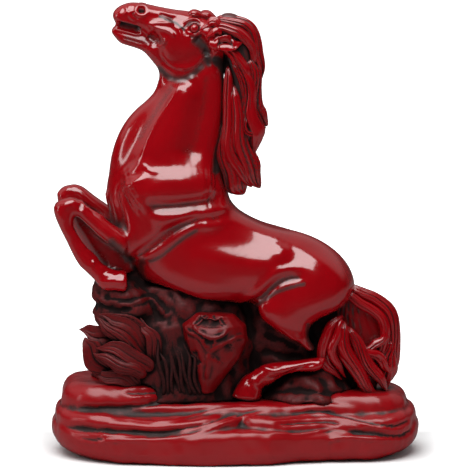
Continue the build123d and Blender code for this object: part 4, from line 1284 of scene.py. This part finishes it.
@dataclass(frozen=True)
class Eyes:
    """The two eyeballs, with their depth and radius in millimetres."""

    px: Pixel = (194.5, 29.0)
    depth: float = -7.5
    radius: float = 1.9

    def build(self) -> list[Piece]:
        """Makes the near eye, and mirrors it."""
        ball = bmesh.new()
        bmesh.ops.create_uvsphere(ball, u_segments=40, v_segments=24, radius=self.radius * MM)
        bmesh.ops.translate(ball, verts=ball.verts, vec=Vector(VIEW.place(self.px, self.depth * MM)))
        near = finished("eyeball_near", ball)
        return [(near, ("eye_near",)), (mirrored("eyeball_far", near), ("eye_far",))]


@dataclass(frozen=True)
class FeltPad:
    """The felt pad, with a softened edge; its edge and its tolerance are in millimetres."""

    edge: float = 0.15
    level: float = 0.01
    flat: float = math.radians(1.0)

    def build(self) -> bpy.types.Object:
        """Softens the CAD pad's rim, and shapes it as the plinth above it."""
        shell = bmesh.new()
        shell.from_mesh(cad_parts["felt_pad"].data)
        bmesh.ops.remove_doubles(shell, verts=shell.verts, dist=WELD)
        bmesh.ops.dissolve_limit(shell, angle_limit=self.flat, verts=shell.verts, edges=shell.edges)
        rim = [edge for edge in shell.edges
               if abs(edge.verts[0].co.z - edge.verts[1].co.z) < self.level * MM]
        bmesh.ops.bevel(shell, geom=rim, offset=self.edge * MM, affect="EDGES", segments=2, profile=0.5,
                        material=-1)
        places = Plinth().shape(np.array([vert.co for vert in shell.verts]))
        for vert, place in zip(shell.verts, places):
            vert.co = place
        return finished("felt_pad_cloth", shell)


@dataclass(frozen=True)
class BrownAndShadeLine:
    """Darkening along a line of pixels on the horse's body, partly dark brown in a crease and partly
    painted shade, with its half-breadth in millimetres.
    """

    name: str
    path: tuple[Pixel, ...]
    radius: float
    amount: float

    SAMPLES: ClassVar[int] = 6
    BLEND: ClassVar[float] = 1.1

    def share(self, surface: Surface) -> np.ndarray:
        """How much of the darkening lies on each point of a surface."""
        LOG.debug("%s: stain %s", surface.piece.name, self.name)
        line = smooth_path(self.path, self.SAMPLES * len(self.path))
        places = [(across, down, self.radius) for across, down in line]
        return self.amount * surface.near(places, self.BLEND)


def brown_and_shade_lines() -> tuple[BrownAndShadeLine, ...]:
    """The horse's dark lines as the photograph shows them: dark brown in its creases, and painted shade
    under its jaw, mane, belly and haunch.
    """
    return (
        BrownAndShadeLine("chin", ((128, 38), (142, 40), (154, 38), (162, 40)), 4.0, 0.38),
        BrownAndShadeLine("under_jaw", ((126, 44), (142, 48), (152, 56), (160, 66)), 2.5, 0.22),
        BrownAndShadeLine("behind_cheek", ((196, 38), (203, 44), (207, 52), (208, 60)), 3.6, 0.70),
        BrownAndShadeLine("throatlatch", ((160, 68), (168, 75), (180, 77), (192, 72), (202, 64)), 2.8, 0.60),
        BrownAndShadeLine("windpipe", ((172, 84), (163, 98), (155, 110), (147, 122), (140, 134)), 2.4, 0.35),
        BrownAndShadeLine("under_mane", ((216, 58), (224, 68), (227, 90), (228, 112), (225, 130), (219, 148),
                             (217, 166)), 3.4, 0.95),
        BrownAndShadeLine("withers", ((218, 170), (224, 186), (231, 198)), 2.2, 0.40),
        BrownAndShadeLine("belly_front", ((142, 256), (141, 268), (147, 282), (160, 296), (176, 304)), 3.5, 0.55),
        BrownAndShadeLine("behind_forearm", ((112, 236), (122, 246), (130, 256)), 4.5, 0.60),
        BrownAndShadeLine("elbow", ((150, 256), (160, 251), (172, 241), (184, 231), (196, 224)), 1.8, 0.55),
        BrownAndShadeLine("thigh", ((256, 300), (266, 292), (278, 284), (292, 279), (304, 276)), 1.7, 0.60),
        BrownAndShadeLine("neck_hollow", ((206, 76), (204, 98), (200, 118), (194, 140), (188, 154)), 3.0, 0.28),
        BrownAndShadeLine("under_haunch", ((308, 318), (308, 332), (313, 344)), 2.0, 0.60),
        BrownAndShadeLine("belly_foot", ((176, 304), (200, 306), (230, 306), (254, 302)), 2.2, 0.50),
        BrownAndShadeLine("shoulder", ((160, 204), (185, 203), (210, 199)), 1.8, 0.30),
        BrownAndShadeLine("nose", ((160, 15), (168, 18), (176, 21), (184, 27)), 1.0, 0.70),
        BrownAndShadeLine("brow", ((183, 26), (188, 23), (196, 22), (201, 26)), 0.9, 0.60),
    )


@dataclass(frozen=True)
class WashAndShade:
    """How dark a piece is made: all over, in its creases, and where it is overhung; the overhung and the
    all-over darkening are painted shade, the crease darkening the cast's own dark brown.
    """

    all_over: float
    creases: float
    overhung: float


# All over, creases, overhung: the first and the last are painted shade, the middle the dark brown left in
# the cast's creases.
WASHES_AND_SHADES: dict[str, WashAndShade] = {
    "horse_body": WashAndShade(0.0, 0.45, 1.3),
    "rock_mass": WashAndShade(0.42, 0.6, 1.0),
    "boulder_skin": WashAndShade(0.22, 1.1, 1.1),
    "plinth": WashAndShade(0.0, 0.6, 1.0),
    "mane_body": WashAndShade(0.55, 0.5, 0.8),
    "mane": WashAndShade(0.12, 0.9, 0.8),
    "forelock": WashAndShade(0.03, 0.7, 0.7),
    "tail_web_fill": WashAndShade(0.12, 0.5, 0.6),
    "tail": WashAndShade(0.0, 0.7, 0.5),
    "leaf": WashAndShade(0.34, 0.9, 1.0),
    "grass": WashAndShade(0.6, 0.8, 1.0),
    "ear": WashAndShade(0.1, 0.9, 0.9),
    "eyeball": WashAndShade(0.0, 0.3, 0.5),
}


class PatinaAndShade:
    """The dark brown of the creases and the painted shade: how deep in a crease each point of each piece
    lies, and how much it is overhung.
    """

    RAYS: int = 20
    GROUPS: int = 4
    GROUP_STEP: int = 7
    SEED: int = 7
    FAR: float = 20 * MM
    LIFT: float = 0.25 * MM
    LEAN: float = 1.05
    BLURS: int = 2
    SMOOTHINGS: tuple[int, ...] = (2, 7, 23)
    CREASE_DEPTH: float = 0.22 * MM
    CREASE_MOST: float = 1.2
    OPEN_SHARE: float = 0.22

    def __init__(self, pieces: Sequence[bpy.types.Object]) -> None:
        """Gathers the pieces into one tree."""
        self.pieces = pieces
        points: list[tuple[float, ...]] = []
        faces: list[tuple[int, ...]] = []
        for piece in pieces:
            start = len(points)
            points += [tuple(vert.co) for vert in piece.data.vertices]
            faces += [tuple(start + index for index in face.vertices) for face in piece.data.polygons]
        self.tree = BVHTree.FromPolygons(points, faces)
        spread = np.random.default_rng(self.SEED).normal(size=(self.RAYS * self.GROUPS, 3))
        self.rays = spread / np.linalg.norm(spread, axis=1)[:, None]

    def creases(self, surface: Surface, normals: np.ndarray) -> np.ndarray:
        """How far each point lies below its smoothed surroundings, fine and broad."""
        smooth = surface.points.copy()
        crease = np.zeros(len(surface.points))
        for step in range(max(self.SMOOTHINGS) + 1):
            smooth = surface.mean(smooth)
            if step in self.SMOOTHINGS:
                hollow = np.einsum("ij,ij->i", smooth - surface.points, normals)
                crease = np.maximum(crease, hollow / (self.CREASE_DEPTH * math.sqrt(step / 2)))
        return crease

    def overhung(self, surface: Surface, normals: np.ndarray) -> np.ndarray:
        """How much of each point's sky is shut off by what stands close to it."""
        hidden = np.zeros(len(surface.points))
        for index, (point, normal) in enumerate(zip(surface.points, normals)):
            start = Vector(point + normal * self.LIFT)
            blocked = 0.0
            rays = self.rays[(index * self.GROUP_STEP) % self.GROUPS::self.GROUPS]
            for ray in rays:
                found = self.tree.ray_cast(start, Vector(ray + normal * self.LEAN), self.FAR)[3]
                if found is not None:
                    blocked += 1 - found / self.FAR
            hidden[index] = blocked / len(rays)
        for _ in range(self.BLURS):
            hidden = surface.mean(hidden[:, None])[:, 0]
        return hidden

    def lay(self, washes_and_shades: dict[str, WashAndShade]) -> None:
        """Writes the dark brown of the creases and the painted shade on every piece.

        Args:
            washes_and_shades: the darkening for the start of a piece's name, of which the first that fits
                holds.
        """
        for piece in self.pieces:
            wash_and_shade = next(wash_and_shade for start, wash_and_shade in washes_and_shades.items() if piece.name.startswith(start))
            surface = Surface(piece)
            normals = surface.normals()
            crease = np.clip(self.creases(surface, normals), 0, self.CREASE_MOST)
            hidden = np.clip(self.overhung(surface, normals) - self.OPEN_SHARE, 0, 1)
            # Dark brown in the creases, plus painted shade all over and where the piece is overhung.
            amount = wash_and_shade.all_over + wash_and_shade.creases * crease + hidden * wash_and_shade.overhung
            # On the horse, its darkened lines lay painted shade under the jaw, mane, belly and haunch, and
            # dark brown in its creases.
            if piece.name == "horse_body":
                for brown_and_shade_line in brown_and_shade_lines():
                    amount = np.maximum(amount, brown_and_shade_line.share(surface))
            layer = piece.data.attributes.new(PATINA_AND_SHADE, "FLOAT", "POINT")
            layer.data.foreach_set("value", np.clip(amount, 0, 1).astype(np.float32))


class Studio:
    """The floor, lamps, surroundings and camera.

    Lengths are in metres. FOOT is half the plinth's length and depth, and each other pair is the
    range over which the light changes.
    """

    TARGET: Vector = Vector(VIEW.place((PHOTO_PX / 2, PHOTO_PX / 2)))
    SENSOR: float = 36.0
    DISTANCE: float = 8.0
    CLIP_DISTANCES: float = 3
    WHITE: Colour = (1, 1, 1)
    FLOOR_SIZE: float = 3.0
    FLOOR_ROUGHNESS: float = 0.9
    FLOOR_GREY: float = 0.85
    PAPER: float = 0.19
    FRONT_FADE: tuple[float, float] = (0.11, 0.19)
    FOOT: tuple[float, float] = (0.078, 0.036)
    SHADOW: tuple[float, float] = (0.002, 0.026)
    SHADOW_LIFT: float = 0.62
    FAR_FLOOR: tuple[float, float] = (0.08, 0.40)
    FAR_LIFT: float = 0.35
    AMBIENT: float = 0.29
    SKY: float = 0.34
    SKY_BEHIND: tuple[float, float] = (-0.10, 0.25)
    SKY_ABOVE: tuple[float, float] = (0.15, 0.6)
    HORIZON: float = 0.05
    HORIZON_BEHIND: tuple[float, float] = (0.2, 0.7)

    def camera(self) -> None:
        """Places a long lens at the photograph's angle, so that a pixel is the view's pixel."""
        data = bpy.data.cameras.new("camera")
        data.sensor_width = self.SENSOR
        data.lens = self.SENSOR * self.DISTANCE / (PHOTO_PX * VIEW.px)
        data.clip_end = self.CLIP_DISTANCES * self.DISTANCE
        camera = bpy.data.objects.new("camera", data)
        camera.location = self.TARGET - VIEW.heading() * self.DISTANCE
        camera.rotation_euler = VIEW.heading().to_track_quat("-Z", "Y").to_euler()
        bpy.context.scene.collection.objects.link(camera)
        bpy.context.scene.camera = camera

    def floor(self) -> None:
        """A pale floor that keeps the shadow and stays white to the camera."""
        shell = bmesh.new()
        bmesh.ops.create_grid(shell, x_segments=2, y_segments=2, size=self.FLOOR_SIZE)
        floor = finished("floor", shell)
        material = bpy.data.materials.new("floor")
        graph = Graph(material)
        light = graph.add("LightPath").outputs
        split = graph.feed(graph.add("SeparateXYZ"), {0: graph.place()}).outputs
        beyond = [graph.math("SUBTRACT", graph.math("ABSOLUTE", split[axis]), foot)
                  for axis, foot in zip("XY", self.FOOT)]
        reach = graph.math("MAXIMUM", *beyond)
        dim = graph.ramp(graph.math("MULTIPLY", split["Y"], -1.0), *self.FRONT_FADE)
        paper = graph.mix(dim, (self.PAPER,) * 3, (0.0,) * 3)
        lift = graph.math("MULTIPLY", graph.ramp(reach, *self.SHADOW), self.SHADOW_LIFT)
        lift = graph.math("MULTIPLY_ADD", graph.ramp(reach, *self.FAR_FLOOR), self.FAR_LIFT, lift)
        graph.feed(graph.tree.nodes["Principled BSDF"], {
            "Base Color": graph.mix(light["Is Glossy Ray"], (self.FLOOR_GREY,) * 3, paper),
            "Roughness": self.FLOOR_ROUGHNESS, "Specular IOR Level": 0.0, "Emission Color": self.WHITE,
            "Emission Strength": graph.math("MULTIPLY", lift, light["Is Camera Ray"])})
        floor.data.materials.append(material)

    def surroundings(self) -> None:
        """White to the camera; to the gloss, pale above and behind the horse and dark in front of it."""
        world = bpy.data.worlds.new("surroundings")
        bpy.context.scene.world = world
        graph = Graph(world)
        light = graph.add("LightPath").outputs
        split = graph.feed(graph.add("SeparateXYZ"), {0: graph.place("Generated")}).outputs
        behind = graph.ramp(split["Y"], *self.SKY_BEHIND)
        above = graph.ramp(split["Z"], *self.SKY_ABOVE)
        horizon = graph.math("MULTIPLY", graph.ramp(split["Y"], *self.HORIZON_BEHIND), self.HORIZON)
        shine = graph.math("MULTIPLY_ADD", graph.math("MULTIPLY", behind, above), self.SKY, horizon)
        soft = graph.math("SUBTRACT", 1.0, light["Is Glossy Ray"])
        level = graph.math("MULTIPLY", soft, self.AMBIENT)
        seen = graph.math("MULTIPLY_ADD", shine, light["Is Glossy Ray"], level)
        graph.feed(graph.tree.nodes["Background"], {
            "Color": self.WHITE, "Strength": graph.math("MAXIMUM", seen, light["Is Camera Ray"])})

    def lamp(self, name: str, place: tuple[float, float, float], size: tuple[float, float],
             power: float) -> None:
        """Adds one soft box that faces the figurine.

        Args:
            name: the lamp's name.
            place: where it stands from the figurine's middle, in metres.
            size: its breadth and height, in metres.
            power: its power, in watts.
        """
        data = bpy.data.lights.new(name, "AREA")
        data.shape = "RECTANGLE"
        data.size, data.size_y = size
        data.energy = power
        lamp = bpy.data.objects.new(name, data)
        lamp.location = self.TARGET + Vector(place)
        lamp.rotation_euler = (-Vector(place)).to_track_quat("-Z", "Y").to_euler()
        bpy.context.scene.collection.objects.link(lamp)

    def build(self) -> None:
        """Sets up the whole studio."""
        self.camera()
        self.floor()
        self.surroundings()
        self.lamp("top_box", place=(-0.12, -0.34, 0.84), size=(1.0, 0.92), power=14.4)
        self.lamp("left_box", place=(-1.1, -0.30, 0.25), size=(0.13, 0.7), power=1.3)
        self.lamp("left_panel", place=(-0.85, 0.12, 0.62), size=(0.50, 0.75), power=0.38)
        bpy.context.scene.view_settings.view_transform = "Standard"


def main() -> None:
    """Builds every sub-assembly in order, dresses it, and reports each piece."""
    logging.basicConfig(level=logging.INFO, format="%(message)s")
    resin, felt = ResinFinish().material(), FeltFinish().material()
    # A darker, rougher copy of the resin for the rock, boulder and plants: its darker red is painted shade,
    # as they lie in the horse's shadow.
    shaded_resin = ResinFinish("red_resin_aged", red=(0.17, 0.0004, 0.002), deep_red=(0.09, 0.0003, 0.0012),
                       wash_and_shade=(0.009, 0.0010, 0.0008), roughness=0.28, washed_and_shaded_roughness=0.55, coat=0.0,
                       ior=1.33).material()
    worn = ResinFinish("red_resin_worn", roughness=0.28, coat=0.0, ior=1.5).material()
    looks = {"rock": shaded_resin, "boulder": shaded_resin, "leaf": shaded_resin, "grass": shaded_resin, "plinth": worn}
    assemblies = (HorseBody(), Rockwork(), Boulder(), Plinth(), Hair(), Plants(), Ears(), Eyes())
    pieces = [made for assembly in assemblies for made in assembly.build()]
    # Lays the dark brown of the creases and the painted shade on every piece.
    PatinaAndShade([piece for piece, _ in pieces]).lay(WASHES_AND_SHADES)
    for piece, nodes in pieces:
        finish = next((look for start, look in looks.items() if piece.name.startswith(start)), resin)
        piece.data.materials.append(finish)
        shade_smooth(piece)
        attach(piece, BODY)
        if nodes:
            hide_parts(*nodes)
        LOG.info("%s: %d faces", piece.name, len(piece.data.polygons))
    cloth = FeltPad().build()
    cloth.data.materials.append(felt)
    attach(cloth, BODY)
    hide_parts("felt_pad")
    LOG.info("%s: %d faces", cloth.name, len(cloth.data.polygons))
    Studio().build()


if __name__ == "__main__":
    main()
